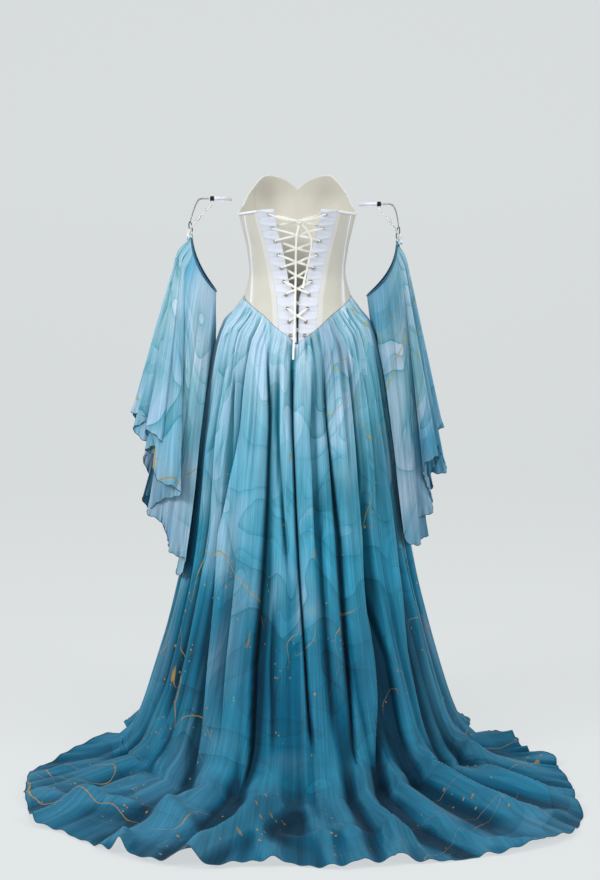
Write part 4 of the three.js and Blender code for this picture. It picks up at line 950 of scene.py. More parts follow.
def lace_stations(first_sign, layer_share):
    """Turn, height, distance out and width at each place where one of the lace's halves bends."""
    out, inward = LACE["outside"], -CORSET_WALL - LACE["inside"]
    for row in range(EYELET["count"]):
        outside_first = row % 2 == 0
        sign = first_sign if outside_first else -first_sign
        turn, z = eyelet_turn(row, sign), eyelet_height(row)
        if row == 0:
            end = float(turn_at(KNOT["x"] + sign * KNOT["half"], KNOT["z"]))
            yield end, KNOT["z"] + 1.5, KNOT["out"], LACE["width"]
            yield mix(end, turn, 0.5), mix(KNOT["z"], z, 0.4), KNOT["out"] - 1, LACE["width"]
        depths = (out, -CORSET_WALL / 2, inward)
        for lean, depth in zip((0.9, 0, -0.9), depths if outside_first else depths[::-1]):
            yield turn, z + lean, depth, LACE["hole"]
        if row + 1 == EYELET["count"]:
            return
        next_turn, next_z = eyelet_turn(row + 1, -sign), eyelet_height(row + 1)
        layer = LACE["layer"] * layer_share
        depth = inward - 0.5 - layer if outside_first else out + 0.5 + layer
        for share, sag in ((0.28, 0.0), (0.5, 1.0), (0.72, 0.0)):
            yield mix(turn, next_turn, share), mix(z, next_z, share) - sag, depth, LACE["width"]


def lace_half(first_sign, layer_share, node):
    """One of the lace's halves: in at one eyelet and out at the next."""
    turns, heights, outs, widths = np.array(list(lace_stations(first_sign, layer_share)), float).T
    points = torso_out(turns, heights, outs)
    path = smooth_path(points, 620)
    length = lengths_along(points)
    width = np.interp(np.linspace(0, length[-1], len(path)), length, widths)
    facing = torso_normal(turns_of(path), path[:, 2])
    slope = np.abs(np.sum(facing * unit(np.gradient(path, axis=0)), axis=1))
    facing = np.where(slope[:, None] > 0.75, stack(0.0, 0.0, np.ones(len(path))), facing)
    for _ in range(6):
        facing[1:-1] = unit(facing[:-2] + 2 * facing[1:-1] + facing[2:])
    shell = Shell()
    sweep(shell, path, width * 0.58, 12, LACE["thick"] + 0.2, facing)
    piece(shell, node, "cloth", "lace")


def make_knot():
    """A flat overhand knot between the lace's two halves."""
    turn = turn_at(KNOT["x"], KNOT["z"])
    centre = torso_out(np.array(turn), np.array(float(KNOT["z"])), KNOT["out"])
    angle = np.linspace(0, 2 * np.pi, 90, endpoint=False)
    shell = Shell()
    for wide, tall, tilt, thick in ((4.2, 2.3, 0.0, 1.1), (3.4, 3.0, 1.0, 1.5)):
        x, z = wide * np.cos(angle + tilt), tall * np.sin(angle + tilt) + 0.6 * np.cos(angle)
        sweep(shell, stack(x, -1.3 * np.sin(2 * angle), z) + centre, thick, 10, closed=True)
    piece(shell, "lace_knot", "cloth", "lace")


def make_corset():
    def fixed(turn):
        return lambda z: np.full_like(z, float(turn))

    stations = (
        ("corset_back", lambda z: lacing_turn(z, "outer"), tape_turn, 40),
        ("corset_side", tape_turn, fixed(CORSET_SIDE_TURN), 34),
        ("corset_side_front", fixed(CORSET_SIDE_TURN), fixed(CORSET_FRONT_TURN), 48),
    )
    for side, sign in (("left", -1), ("right", 1)):
        for label, start, end, columns in stations:
            edges = [lambda z, turn_of=turn_of: sign * turn_of(z) for turn_of in (start, end)]
            corset_panel(f"{label}_{side}", *edges[::sign], columns)
        lacing_panel(side, sign)
        make_eyelets(side, sign)
        make_tape(side, sign)
    corset_panel("corset_front", fixed(CORSET_FRONT_TURN), fixed(360 - CORSET_FRONT_TURN), 90)
    make_binding()
    lace_half(-1, 0, "lace_half_left")
    lace_half(1, 1, "lace_half_right")
    make_knot()


# Skirt


def hem_point(turn):
    side = side_turn(turn)
    share = np.where(side < 90, HEM_TURN_SHARE + (1 - HEM_TURN_SHARE) * (side / 90) ** 2, 1)
    direction = np.sign(wrap(turn)) * side * share
    left = column(HEM, "turn", np.abs(direction), "left")
    right = column(HEM, "turn", np.abs(direction), "right")
    radius = np.where(direction < 0, left, right)
    return oval(direction, radius, radius, radius, 0.0)


def skirt_outline(turn, z):
    share = ease((seam_height(turn) - z) / SEAM_BLEND)[..., None]
    return mix(torso(turn, z), table_oval(SKIRT, turn, z), share)


def skirt_base(turns, shares):
    """The middle of the cloth without folds: rows of points, and how far each lies out on the train."""
    top = seam_height(turns) - SKIRT_TOP_GAP
    hang = np.linspace(0, 1, HANG_ROWS)[:, None]
    hanging = skirt_outline(turns[None, :] + 0 * hang, top[None, :] * (1 - hang) ** 1.25)
    out = np.linspace(0, 1, TRAIN_ROWS)[1:, None, None]
    lines = np.concatenate([hanging, mix(hanging[-1][None], hem_point(turns)[None], out)])
    lengths = lengths_along(lines)
    total, hang_length = lengths[-1], lengths[HANG_ROWS - 1]
    part = np.minimum(hang_length / total, MOST_HANGING)
    beyond = ((shares - FLOOR_ROW) / (1 - FLOOR_ROW))[:, None]
    hung = part * shares[:, None] / FLOOR_ROW
    down = np.where(shares[:, None] < FLOOR_ROW, hung, mix(part, 1, beyond)) * total
    points = np.empty((*down.shape, 3))
    for c in range(len(turns)):
        for k in range(3):
            points[:, c, k] = np.interp(down[:, c], lengths[:, c], lines[:, c, k])
    train = ease(beyond) * ease((total - hang_length) / LONG_TRAIN)
    return points, train, down


def ridge_turns(z):
    """The turn of each ridge at each height, as one more axis in front."""
    hip, knee, floor = (FOLDS[k].reshape(-1, *[1] * z.ndim) for k in ("hip", "knee", "floor"))
    upper = mix(knee, hip, ease((z - KNEE_HEIGHT) / (HIP_HEIGHT - KNEE_HEIGHT)))
    lower = mix(floor, knee, ease(z / KNEE_HEIGHT))
    return np.where(z > KNEE_HEIGHT, upper, lower)


def fold_height(turn, z):
    ridges = ridge_turns(z)
    angle = (turn - ridges[0]) % 360 + ridges[0]
    index = (ridges <= angle).sum(axis=0) - 1
    count = len(ridges)
    start = np.take_along_axis(ridges, index[None], axis=0)[0]
    following = (index + 1) % count
    end = np.take_along_axis(ridges, following[None], axis=0)[0] + np.where(index + 1 == count, 360, 0)
    share = (angle - start) / (end - start)
    wave = (0.5 + 0.5 * np.cos(2 * np.pi * share)) ** 0.75
    lift = mix(FOLDS["lift"][index], FOLDS["lift"][following], ease(share))
    return wave, lift


RANDOM = np.random.default_rng(11)
# Creases between the large folds behind: turns at five heights, side widths, depth, and where they run
CREASES = table(
    "at900 at725 at500 at250 at30 left right depth top low",
    (-3, -2, 1, 4, 6, 5, 5, 24, 960, 60),
    (-13, -11.5, -6, -2, 0, 9, 5, 13, 920, 380),
    (-22, -19.6, -19.6, -20, -17, 4, 30, 27, 930, -20),
    (-36, -38, -45, -41, -37, 26, 4, 22, 945, -20),
    (-49, -44, -43, -42, -42, 12, 4, 9, 950, 560),
    (-58, -60, -58, -57, -57, 18, 5, 16, 950, 60),
    (11, 7.5, 9, 10, 10, 4, 20, 14, 930, 420),
    (18, 19.5, 24, 22.5, 20, 14, 4, 20, 940, -20),
    (28, 30, 31, 30, 30, 4, 14, 8, 950, 560),
    (36, 37.5, 37.5, 33, 25, 4, 20, 15, 945, 300),
    (44, 42, 39, 35, 27, 4, 30, 24, 640, -20),
    (46, 51, 50, 48, 48, 4, 16, 10, 950, 520),
    (58, 60, 64, 56, 54, 5, 24, 18, 950, -20),
    (-28, -28, -29, -30, -30, 12, 4, 8, 950, 600),
    (-7, -6, -5, -9, -10, 4, 9, 8, 950, 640),
    (23, 25, 12, 13, 13, 12, 5, 8, 600, 60),
    (-31, -31, -33, -31, -27, 14, 4, 10, 520, 40),
    (-10, -10, -12, -11, -8, 4, 16, 9, 420, 20),
    (32, 32, 34, 42, 41, 16, 4, 12, 470, -20),
    (72, 73, 74, 71, 70, 8, 5, 9, 960, 60),
    (-72, -73, -71, -70, -70, 6, 16, 12, 960, 60),
    (-82, -80, -81, -82, -82, 8, 6, 8, 960, 200),
    (82, 83, 82, 80, 80, 6, 10, 9, 960, 100),
)
HIDDEN_CREASES = {"first": 86, "last": 278, "step": 8.5, "sway": 3.2}
CREASE_HEIGHTS = np.array([30.0, 250.0, 500.0, 725.0, 900.0])
# Folds that lie on the floor: height, width and the line they follow, as sideways and backward distances
FLOOR_FOLDS = (
    (24, 26, ((-250, 110), (-330, 335), (-410, 505), (-500, 600))),
    (15, 20, ((-200, 465), (-265, 625), (-335, 725), (-385, 785))),
    (46, 26, ((-20, 520), (-62, 640), (-122, 745), (-178, 820), (-206, 880))),
    (30, 24, ((100, 290), (145, 458), (176, 686), (182, 912))),
    (28, 30, ((238, 136), (322, 458), (420, 576), (510, 570))),
    (22, 24, ((324, -30), (384, 222), (477, 411), (560, 445))),
    (24, 12, ((-322, 700), (-327, 790), (-336, 872))),
    (22, 30, ((-560, 420), (-430, 520), (-300, 560), (-190, 700))),
    (16, 26, ((-60, 700), (60, 742), (190, 720), (300, 640))),
    (14, 20, ((240, 605), (323, 744), (415, 760), (500, 745))),
    (14, 24, ((-125, 530), (-67, 745), (-40, 912))),
    (-34, 20, ((157, 326), (175, 569), (221, 668), (335, 838))),
    (12, 18, ((5, 465), (40, 686), (75, 912))),
    (16, 20, ((-330, 60), (-440, 220), (-540, 330))),
    (14, 16, ((60, 640), (110, 760), (125, 905))),
)
FOLD_DEEPER = {"ridge": 1.25, "sink": 0.95}
TUCKS = {"count": 92, "least": 45, "most": 150}
HEM_WAVES = tuple(
    (count, float(RANDOM.uniform(0, 2 * np.pi)), float(RANDOM.uniform(0.5, 1.0)))
    for count in (7, 11, 16, 23, 37, 53, 83, 109)
)
RUFFLE = {"turn": 80, "spread": 8, "rise": 20, "every": 4.7}
TABS = ((-49, 3.2, 26), (84, 2.2, 22), (90, 2.2, 20), (76, 2.6, 18), (-71, 4.0, 12), (47, 4.0, 16))
SKIRT_COLUMNS = 828
PLEATS = [
    (float(count), float(RANDOM.uniform(0, 2 * np.pi)), float(RANDOM.uniform(-0.9, 0.9)))
    for count in (31, 43, 58, 71, 87, 103)
]


def blurred(values, spread):
    """A closed grid averaged along its rows over a bell of a number of columns."""
    waves = np.fft.rfftfreq(values.shape[1])
    bell = np.exp(-2 * (np.pi * waves * spread) ** 2)
    return np.fft.irfft(np.fft.rfft(values, axis=1) * bell, values.shape[1], axis=1)


def waves_round(turn, phase_shift=0.0, lowest=0):
    total = 0.0
    for count, phase, share in HEM_WAVES[lowest:]:
        total = total + share * np.cos(np.radians(turn) * count + phase + phase_shift)
    return total / len(HEM_WAVES[lowest:]) ** 0.5


def pleats(turn, z):
    """Uneven narrow folds between the large ones."""
    angle = np.radians(turn)
    height = z / 1000
    total = 0
    for count, phase, drift in PLEATS:
        total = total + np.cos(count * angle + phase + drift * 6 * height) / len(PLEATS) ** 0.5
    return total


def hidden_creases():
    """Creases like those behind, for the sides and the front."""
    draw = np.random.default_rng(5)
    turn = HIDDEN_CREASES["first"]
    while turn < HIDDEN_CREASES["last"]:
        sway = draw.uniform(-1, 1, 5) * HIDDEN_CREASES["sway"]
        left, right, depth = draw.uniform(4, 16), draw.uniform(4, 16), draw.uniform(8, 18)
        yield (*(turn + sway), left, right, depth, draw.uniform(900, 970), draw.uniform(-40, 420))
        turn += HIDDEN_CREASES["step"] * draw.uniform(0.75, 1.35)


def crease_shape(turn, z, reach):
    """Depth of all creases at points whose distance from the axis is reach, and how far the panel beside
    each slides over it."""
    rows = [*zip(*CREASES.values()), *hidden_creases()]
    total, slide = np.zeros_like(z), np.zeros_like(z)
    for a900, a725, a500, a250, a30, left, right, depth, top, low in rows:
        at = np.interp(z, CREASE_HEIGHTS, (a30, a250, a500, a725, a900))
        away = np.radians(wrap(turn - at)) * reach
        width = np.where(away < 0, left, right)
        broad = 1 + np.where(width > 10, 0.8, 0.35) * (1 - ease((z - 100) / 600))
        shape = np.exp(-np.abs(away / (width * broad)) ** np.where(width > 10, 1.15, 1.9))
        reached = depth * ease((top - z) / 170) * ease((z - low) / 120)
        total += reached * shape
        steep = 1.25 * min(left, right)
        way = 1 if left < right else -1
        slide += way * 0.34 * max(0, 1 - 6 / depth) * reached * np.exp(-(((way * away + steep) / steep) ** 2))
    return total, slide


def tuck_depth(turn, below, reach):
    """Small uneven gathers that start at the seam."""
    draw = np.random.default_rng(8)
    total = np.zeros_like(turn)
    for i in range(TUCKS["count"]):
        at = 360 * (i + draw.uniform(-0.35, 0.35)) / TUCKS["count"]
        length = draw.uniform(TUCKS["least"], TUCKS["most"])
        lean, width, depth = draw.uniform(-2, 2), draw.uniform(1.6, 3.2), draw.uniform(2.5, 5.5)
        away = np.radians(wrap(turn - at - lean * below / length)) * reach
        shape = np.exp(-np.abs(away / (width * (1 + below / length))) ** 1.7)
        total += depth * shape * ease(below / 14) * (1 - ease(below / length))
    return total


def distance_to_line(points, line):
    """Distance on the floor to a line, and the share of the way along it."""
    line = smooth_path([(x, -y, 0) for x, y in line], 40)[:, :2]
    gaps = np.linalg.norm(points[..., None, :2] - line, axis=-1)
    nearest = gaps.argmin(axis=-1)
    return gaps.min(axis=-1), nearest / (len(line) - 1)


def skirt_rows():
    """Shares of the length, closer at the gathers and on the train."""
    s = np.linspace(0, 1, 211)
    weight = 1 + 1.6 * np.exp(-((s / 0.12) ** 2)) + 0.8 * ease((s - 0.62) / 0.1)
    total = np.cumsum(1 / weight)
    return (total - total[0]) / (total[-1] - total[0])


def hanging_folds(turn, z, train):
    """Height of the large folds, of the gathers under the seam and of the narrow pleats between them."""
    below = seam_height(turn) - z
    wave, lift = fold_height(turn, z)
    hang = ease(z / FLOOR_BLEND)
    shape = FOLD_DEEPER["ridge"] * wave - FOLD_DEEPER["sink"] * mix(0.25, 1, hang)
    behind = mix(0.42, 1, ease((side_turn(turn) - 72) / 40))
    flatness = mix(1, TRAIN_FOLD_SHARE, train)
    folds = lift * column(FOLD_SHARE, "z", z, "share") * flatness * shape * mix(behind, 1, 1 - hang)
    uneven = 0.9 * np.sin(np.radians(turn * 17)) + 0.8 * np.sin(np.radians(turn * 29) + 1)
    gather = (0.5 + 0.5 * np.cos(np.radians(turn) * GATHERS["count"] + uneven)) ** 0.6
    gather *= 0.75 + 0.25 * np.sin(np.radians(turn * 23) + 2)
    rise = mix(GATHERS["seam"], GATHERS["rise"], ease(below / GATHERS["grow"]))
    folds += gather * rise * (1 - ease((below - GATHERS["grow"]) / GATHERS["fade"]))
    narrow = ease(below / 60) * mix(1.0, 0.5, ease(below / 700)) * (1 - 0.8 * train)
    return folds + 3.0 * narrow * pleats(turn, z)


def floor_rise(points, turn, shares, train):
    """How high the folds on the floor, the train's waves and the hem's ruffle lift cloth that lies low."""
    rise = np.zeros_like(train)
    for height, width, line in FLOOR_FOLDS:
        away, along = distance_to_line(points, line)
        ends = ease(along / 0.25) * mix(1, 0.85 if height > 40 else 0.4, ease((along - 0.8) / 0.2))
        rise += height * ends * np.exp(-np.abs(away / width) ** 1.8)
    rise += ease((shares - 0.8) / 0.2) * ease(train * 3) * 3.5 * (waves_round(turn, 0.4) + 0.6)
    edge = ease((shares - 0.9) / 0.1)
    rise += edge * 2.4 * (1 + waves_round(turn, 1.7, 3))
    around = side_turn(turn - RUFFLE["turn"]) / RUFFLE["spread"]
    peaks = (-turn / RUFFLE["every"] + 0.25 * np.sin(turn)) % 1
    return rise + edge * RUFFLE["rise"] * np.exp(-around * around) * peaks**1.4


def hem_step(turn, shares):
    """How far the hem's edge waves in and out, with a few longer tabs."""
    edge = ease((shares - 0.9) / 0.1)
    step = edge * 2.6 * waves_round(turn, 2.9, 3)
    for at, spread, length in TABS:
        step += edge * length * np.exp(-((wrap(turn - at) / spread) ** 2))
    return step


def skirt_surface():
    """The whole skirt as a closed grid, its lengths from the seam, and how high each point stands in a fold,
    used for painted shade in the valleys and painted highlight on the ridges.
    """
    shares = skirt_rows()
    turns = np.arange(SKIRT_COLUMNS) * 360 / SKIRT_COLUMNS
    base, train, down = skirt_base(turns, shares)
    normal = grid_normals(base, closed=True)
    turn = np.broadcast_to(turns[None, :], down.shape)
    z = base[..., 2]
    reach = np.linalg.norm(base[..., :2], axis=-1)
    creases, slide = crease_shape(turn, z, reach)
    tucks = tuck_depth(turn, seam_height(turn) - z, reach)
    folds = hanging_folds(turn, z, train) - creases * mix(1, TRAIN_FOLD_SHARE, train) - tucks
    along = unit(np.cross((0.0, 0.0, 1.0), normal))
    points = base + normal * folds[..., None] + along * (slide * ease(z / FLOOR_BLEND))[..., None]
    rise = floor_rise(points, turn, shares[:, None], train) * (1 - ease(z / 110))
    points += unit(np.where([1, 1, 0], points, 0)) * hem_step(turn, shares[:, None])[..., None]
    points[..., 2] = np.maximum(points[..., 2] + rise, LOWEST)
    depth = folds + rise
    # Mask for painted shade and highlight: darker in creases and tucks, stronger lower down
    relief = 0.75 * (depth - blurred(depth, SKIRT_COLUMNS / 360 * 4.2)) + 2 - 0.42 * creases - 1.3 * tucks
    return points, down, relief * (1 + 0.9 * ease((700 - z) / 500))


def make_skirt():
    points, down, relief = skirt_surface()
    angle = np.radians(np.arange(SKIRT_COLUMNS) * 360 / SKIRT_COLUMNS)
    cloth = stack(0.5 * np.sin(angle)[None, :], -0.5 * np.cos(angle)[None, :], down / 1000)
    # Painted shade and highlight mask, from how high each point stands in a fold
    depth = np.clip(relief / 10, -1, 1)
    for node, start, degrees in SKIRT_PANELS:
        first, last = (round(turn * SKIRT_COLUMNS / 360) for turn in (start, start + degrees))
        chosen = np.arange(first, last + 1) % SKIRT_COLUMNS
        panel = points[:, chosen]
        shell = Shell()
        shell.grid(panel, cloth[:, chosen], fold=depth[:, chosen])
        sweep(shell, panel[-1] + (0, 0, 0.4), 0.9, 6, look=1)
        made = piece(shell, node, "cloth", "skirt hem")
        declare(panel)


# Sleeves


def loop_point(sleeve, turn):
    loop = sleeve["loop"]
    angle = np.radians(turn)
    x = (loop["outer"] + loop["inner"]) / 2 + (loop["outer"] - loop["inner"]) / 2 * np.cos(angle)
    fall = np.abs(np.sin(angle / 2)) ** loop["shape"]
    return stack(sleeve["sign"] * x, -loop["depth"] * np.sin(angle), loop["top"] - loop["drop"] * fall)


def keep_off_skirt(points):
    x, y, z = points[..., 0], points[..., 1], points[..., 2]
    half = column(SKIRT, "z", z, "half") + SLEEVE_CLEARANCE
    depth = np.where(y < 0, column(SKIRT, "z", z, "back"), column(SKIRT, "z", z, "front")) + SLEEVE_CLEARANCE
    reach = np.hypot(x / half, y / depth)
    push = np.where((z < 1008) & (reach < 1), 1 / np.maximum(reach, 0.2), 1.0)
    points[..., 0] *= push
    points[..., 1] *= push
    return points


# The hem of each sleeve, round from its outer edge: the turn on the armhole above, and the place
SLEEVE_HEMS = {
    "left": table(
        "turn x y z",
        (0, 368, -25, 749), (5, 327, -45, 736), (7, 366, -32, 713), (9, 330, -50, 683),
        (10, 336, -70, 714), (15, 299, -86, 689), (17, 338, -62, 668), (18, 313, -72, 657),
        (19, 318, -92, 633), (21, 305, -99, 604), (24, 269, -106, 591), (27, 255, -106, 575),
        (32, 298, -82, 560), (40, 333, -74, 530), (62, 304, -80, 512), (85, 287, -84, 474),
        (105, 284, -92, 447), (140, 236, -100, 425), (165, 226, -92, 398), (176, 240, -40, 388),
        (186, 222, 20, 390), (200, 196, 104, 398), (224, 226, 130, 420), (244, 252, 116, 452),
        (262, 306, 82, 490), (275, 353, 28, 548), (290, 320, 44, 560), (310, 350, 30, 640),
        (325, 322, 36, 660), (345, 356, 10, 715),
    ),
    "right": table(
        "turn x y z",
        (0, 325, 0, 713), (4, 304, -12, 706), (6, 333, -10, 612), (8, 297, -18, 611),
        (9, 290, -22, 598), (12, 316, -36, 653), (15, 297, -42, 643), (18, 281, -42, 632),
        (20, 303, -20, 527), (22, 286, -34, 517), (26, 248, -30, 507), (30, 293, -16, 472),
        (36, 264, -52, 461), (55, 274, -60, 456), (85, 240, -96, 466), (120, 226, -102, 486),
        (150, 230, -30, 500), (170, 205, 108, 500), (205, 226, 118, 500), (225, 275, 84, 470),
        (245, 250, 104, 500), (262, 290, 116, 480), (280, 262, 124, 540), (298, 312, 112, 560),
        (315, 285, 96, 620), (330, 320, 66, 640), (345, 300, 30, 690),
    ),
}


def sleeve_points(side):
    """The sleeve's cloth, hung in straight lines from the armhole to its folded hem."""
    sleeve = SLEEVES[side]
    sign = sleeve["sign"]
    rows = np.stack(list(SLEEVE_HEMS[side].values()), axis=1)
    hem = smooth_path(np.concatenate([rows, rows[:1] + (360, 0, 0, 0)]), 421)[:-1]
    turns = hem[:, 0]
    s = np.linspace(0, 1, 131)[:, None]
    end = hem[:, 1:] * (sign, 1, 1)
    points = mix(loop_point(sleeve, turns)[None], end[None], s[..., None])
    near = 1 - ease(side_turn(turns) / 75)
    points[..., 0] += sign * sleeve["bulge"] * near * ease(s / 0.1) * (1 - s)
    normal = grid_normals(points, closed=True) * -sign
    lengths = lengths_along(end)
    angle = lengths[None, :] / (lengths[-1] + 5) * 2 * np.pi
    narrow = 1.5 * np.cos(19 * angle + 2 * np.sin(3 * angle)) + 0.8 * np.cos(31 * angle + 1.3)
    narrow += 0.3 * np.cos(57 * angle)
    edge = ease((s - 0.94) / 0.06)
    curl = np.cos(88 * angle + 3 * np.sin(5 * angle)) + 0.7 * np.cos(131 * angle)
    points += normal * (narrow * ease(s / 0.15) + 1.6 * edge * curl)[..., None]
    points[..., 2] += 1.6 * edge * np.cos(60 * angle + 2.0)
    points = keep_off_skirt(points)
    middle = points.mean(axis=1, keepdims=True)
    reach = np.linalg.norm((points - middle)[..., :2], axis=-1)
    # Mask for painted shade in the sleeve's fold valleys and painted highlight on its ridges
    relief = (reach - blurred(reach, 13)) / 16 * ease(s / 0.2)
    cloth = stack(0.2 * np.cos(angle), 0.2 * np.sin(angle), lengths_along(points) / 1000)
    # Painted light: the far side of the sleeve, inside it and in its shade, is made lighter
    inner = 0.5 * ease(1.4 - side_turn(turns - 170) / 60)
    return points, cloth, np.clip(relief + inner, -1, 1)


def make_sleeve(side):
    sleeve = SLEEVES[side]
    points, cloth, depth = sleeve_points(side)
    shell = Shell()
    shell.grid(points, cloth, closed=True, flip=sleeve["sign"] > 0, fold=depth)
    sweep(shell, points[-1], 0.8, 6, closed=True, look=1)
    made = piece(shell, f"sleeve_{side}", "cloth", f"{sleeve['look']} hem")
    declare(np.concatenate([points, points[:, :1]], axis=1))
    opening = loop_point(sleeve, np.linspace(0, 360, 181)[:-1]) + (0, 0, 1.4)
    bound = Shell()
    sweep(bound, opening, 2.0, 10, closed=True)
    piece(bound, f"sleeve_binding_{side}", "cloth", "teal")


# Arm bands


def arm_point(sleeve, turn, out, up):
    arm = sleeve["arm"]
    angle = np.radians(turn)
    radius = arm["radius"] + out
    x = arm["x"] + radius * np.sin(angle)
    return stack(sleeve["sign"] * x, -radius * np.cos(angle), arm["z"] + up)


def ball(shell, centre, radius, rings=8, look=0):
    polar = np.linspace(0.02, np.pi - 0.02, rings + 1)[:, None]
    angle = np.arange(2 * rings)[None, :] * np.pi / rings
    points = stack(np.sin(polar) * np.cos(angle), np.sin(polar) * np.sin(angle), np.cos(polar))
    shell.grid(points * radius + centre, closed=True, look=look)


def loop_foot(sleeve):
    return loop_point(sleeve, np.array(0.0)) + (sleeve["sign"] * 0.5, 0, 3.5)


def flower_frame(sleeve):
    sign = sleeve["sign"]
    facing = np.array([sign * 0.8, -0.6, 0])
    across = np.array([-facing[1], facing[0], 0])
    centre = loop_point(sleeve, np.array(0.0)) + facing * sleeve["arm"]["flower_out"] + (0, 0, 3)
    return centre, facing, across


def make_elastic(side, sleeve):
    turns = np.linspace(ELASTIC["start"], ELASTIC["end"], 60)
    half, wall_out = ELASTIC["half"], ELASTIC["wall"]
    section = ((0, -half), (0, half), (wall_out, half), (wall_out + ELASTIC["bulge"], 0), (wall_out, -half))
    rows = [arm_point(sleeve, turns, out, up) for out, up in (*section, section[0])]
    shell = Shell()
    shell.grid(np.array(rows), flip=sleeve["sign"] > 0)
    piece(shell, f"arm_elastic_{side}", "strap", "elastic")


def make_clip(side, sleeve):
    """A moulded block with rounded edges."""
    polar = np.linspace(0.02, np.pi - 0.02, 13)[:, None]
    angle = np.arange(24)[None, :] * np.pi / 12
    ball_axes = (np.sin(polar) * np.cos(angle), np.sin(polar) * np.sin(angle), np.cos(polar) + 0 * angle)
    x, y, z = (
        np.sign(axis) * np.abs(axis) ** CLIP["squareness"] * CLIP[size] / 2
        for axis, size in zip(ball_axes, ("width", "depth", "height"))
    )
    lean = math.radians(CLIP["lean"]) * sleeve["sign"]
    turned = stack(x * math.cos(lean) - y * math.sin(lean), x * math.sin(lean) + y * math.cos(lean), z)
    shell = Shell()
    shell.grid(turned + arm_point(sleeve, CLIP["turn"], CLIP["out"], 0), closed=True)
    piece(shell, f"arm_clip_{side}", "block", "clip")


def make_chain(side, sleeve):
    """Small links, each turned a quarter against the one before."""
    low = loop_foot(sleeve) + (sleeve["sign"] * 3.2, 0, 23.2)
    stops = arm_point(sleeve, CHAIN_ROUTE["turn"], CHAIN_ROUTE["out"], CHAIN_ROUTE["up"])
    route = smooth_path(np.concatenate([stops[:4], [low], stops[4:]]), 400)
    links = int(path_length(route) / CHAIN["pitch"])
    spaced = smooth_path(route[::8], links)
    tangents, across, upward = frames_along(spaced)
    angle = (np.arange(12) * np.pi / 6)[:, None]
    long_way, wide_way = CHAIN["half_length"] * np.cos(angle), CHAIN["half_width"] * np.sin(angle)
    shell = Shell()
    for k in range(links):
        aside = across[k] if k % 2 else upward[k]
        sweep(shell, spaced[k] + long_way * tangents[k] + wide_way * aside, CHAIN["wire"], 6, closed=True)
    piece(shell, f"arm_chain_{side}", "links", "chain")


def make_loop(side, sleeve):
    """The cloth loop at the sleeve's top point, which the chain passes through."""
    angle = np.linspace(0, 2 * np.pi, 48, endpoint=False)
    lean_x = sleeve["sign"] * 1.6 * (1 - np.cos(angle))
    ring = loop_foot(sleeve) + stack(3.4 * np.sin(angle) + lean_x, 0.0, 13 - 12.4 * np.cos(angle))
    shell = Shell()
    sweep(shell, ring, 1.3, 10, closed=True)
    piece(shell, f"sleeve_loop_{side}", "cloth", "teal")


def make_pearls(side, sleeve):
    """Pearls on a thread, with two small silver beads at each."""
    centre, facing, across = flower_frame(sleeve)
    inward = across * -np.sign(across[0]) * sleeve["sign"]
    low = centre + facing * 2.4 + inward * 3 + (0, 0, 3)
    before = low + inward * 6 + (0, 0, 9)
    stops = arm_point(sleeve, PEARL_ROUTE["turn"], PEARL_ROUTE["out"], PEARL_ROUTE["up"])
    route = np.concatenate([stops, [before, low]])
    count = int(path_length(smooth_path(route, 200)) / PEARLS["pitch"])
    shell = Shell()
    sweep(shell, smooth_path(route, 80), PEARLS["thread"], 6)
    for k, bead in enumerate(smooth_path(route, count)):
        ball(shell, bead, PEARLS["large"] if k % 3 else PEARLS["small"])
        around = PEARLS["bead_out"] * np.array([np.cos(0.8 * k), np.sin(0.8 * k), 0.6])
        for way in (-1, 1):
            ball(shell, bead + way * around + (0, 0, 1.2), PEARLS["bead"], 5, look=1)
    piece(shell, f"pearl_strand_{side}", "beads", "pearl chain")


def petal(shell, centre, facing, direction, length, width, cup, look=0):
    """A leaf or petal: a thin cupped sheet with a midrib."""
    side_way = np.cross(facing, direction)
    s = np.linspace(0, 1, 13)[:, None]
    t = np.linspace(-1, 1, 9)[None, :]
    half = width * np.sin(np.pi * s**0.8) ** 0.8 + 0.1
    rise = cup * (s**1.5) + 0.5 * cup * t * t * np.sin(np.pi * s) - 0.25 * np.exp(-((t / 0.2) ** 2))
    points = (
        centre
        + direction * (length * s)[..., None]
        + side_way * (half * t)[..., None]
        + facing * rise[..., None]
    )
    wall(shell, points, points - facing * 0.5, look=look)


def make_flower(side, sleeve):
    centre, facing, across = flower_frame(sleeve)

    def towards(angle):
        return np.cos(angle) * across + np.sin(angle) * np.array([0.0, 0, 1])

    shell = Shell()
    for layer, (count, length, cup, phase) in enumerate(PETAL_LAYERS):
        foot = centre + facing * (layer * 0.8 - 0.6)
        for k in range(count):
            petal(shell, foot, facing, towards(phase + 2 * np.pi * k / count), length, 3.8 - layer, cup)
    for angle in LEAF_ANGLES:
        petal(shell, centre - facing * 0.8, facing, towards(angle), 18.0, 3.4, 0.6, look=1)
    for k in range(7):
        radius = 1.6 if k < 6 else 0
        ball(shell, centre + facing * 2.2 + radius * towards(2 * np.pi * k / 6), 0.9, 6, look=2)
    piece(shell, f"flower_{side}", "applique", "applique leaf pearl")


# Floor and light


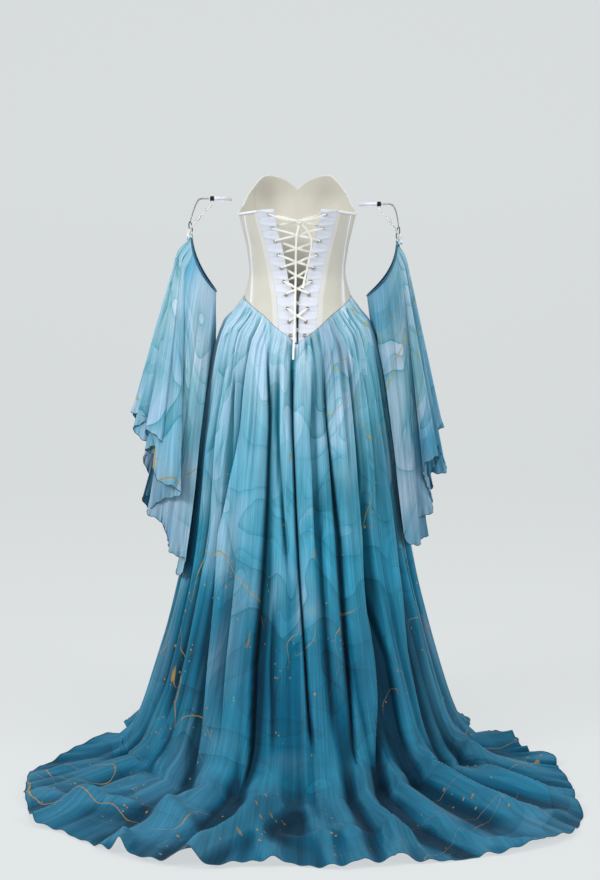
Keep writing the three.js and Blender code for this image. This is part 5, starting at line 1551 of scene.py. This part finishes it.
def make_floor():
    nodes = Nodes("studio_floor")
    nodes.set(Base_Color=linear(112, 114, 115), Roughness=0.95, Specular_IOR_Level=0.0)
    nodes.set(Emission_Color=linear(218, 222, 223), Emission_Strength=BACKDROP_GLOW)
    flat_to, turn = FLOOR["flat_to"], FLOOR["turn"]
    profile = [(FLOOR["near"], 0.0), (flat_to, 0.0)]
    for a in np.linspace(0.1, math.pi / 2, 14):
        profile.append((flat_to + turn * math.sin(a), turn - turn * math.cos(a)))
    profile.append((flat_to + turn, FLOOR["high"]))
    sides = (-FLOOR["half_width"], FLOOR["half_width"])
    vertices = [(x, y, z - WAIST_HEIGHT / 1000) for y, z in profile for x in sides]
    faces = [(2 * i, 2 * i + 1, 2 * i + 3, 2 * i + 2) for i in range(len(profile) - 1)]
    mesh = bpy.data.meshes.new("studio_floor")
    mesh.from_pydata(vertices, [], faces)
    mesh.materials.append(nodes.material)
    for polygon in mesh.polygons:
        polygon.use_smooth = True
    floor = bpy.data.objects.new("studio_floor", mesh)
    bpy.context.scene.collection.objects.link(floor)


def make_light():
    bpy.context.scene.view_settings.view_transform = "Standard"
    world = bpy.data.worlds.new("studio_air")
    world.use_nodes = True
    background = world.node_tree.nodes["Background"]
    background.inputs["Color"].default_value = (0.95, 0.98, 1.0, 1)
    background.inputs["Strength"].default_value = AIR_LIGHT
    bpy.context.scene.world = world
    for name, location, size, power in LAMPS:
        lamp = bpy.data.lights.new(name, "AREA")
        lamp.size, lamp.energy = size, power
        seat = bpy.data.objects.new(name, lamp)
        seat.location = location
        aim = Vector(LAMP_AIM) - Vector(location)
        seat.rotation_euler = aim.to_track_quat("-Z", "Y").to_euler()
        bpy.context.scene.collection.objects.link(seat)


make_camera()
make_tail("lace_tail_left", TAIL_LEFT)
make_tail("lace_tail_right", TAIL_RIGHT)
make_corset()
make_skirt()
for side_name, side_sleeve in SLEEVES.items():
    make_sleeve(side_name)
    for make_part in (make_elastic, make_clip, make_chain, make_loop, make_pearls, make_flower):
        make_part(side_name, side_sleeve)
make_floor()
make_light()
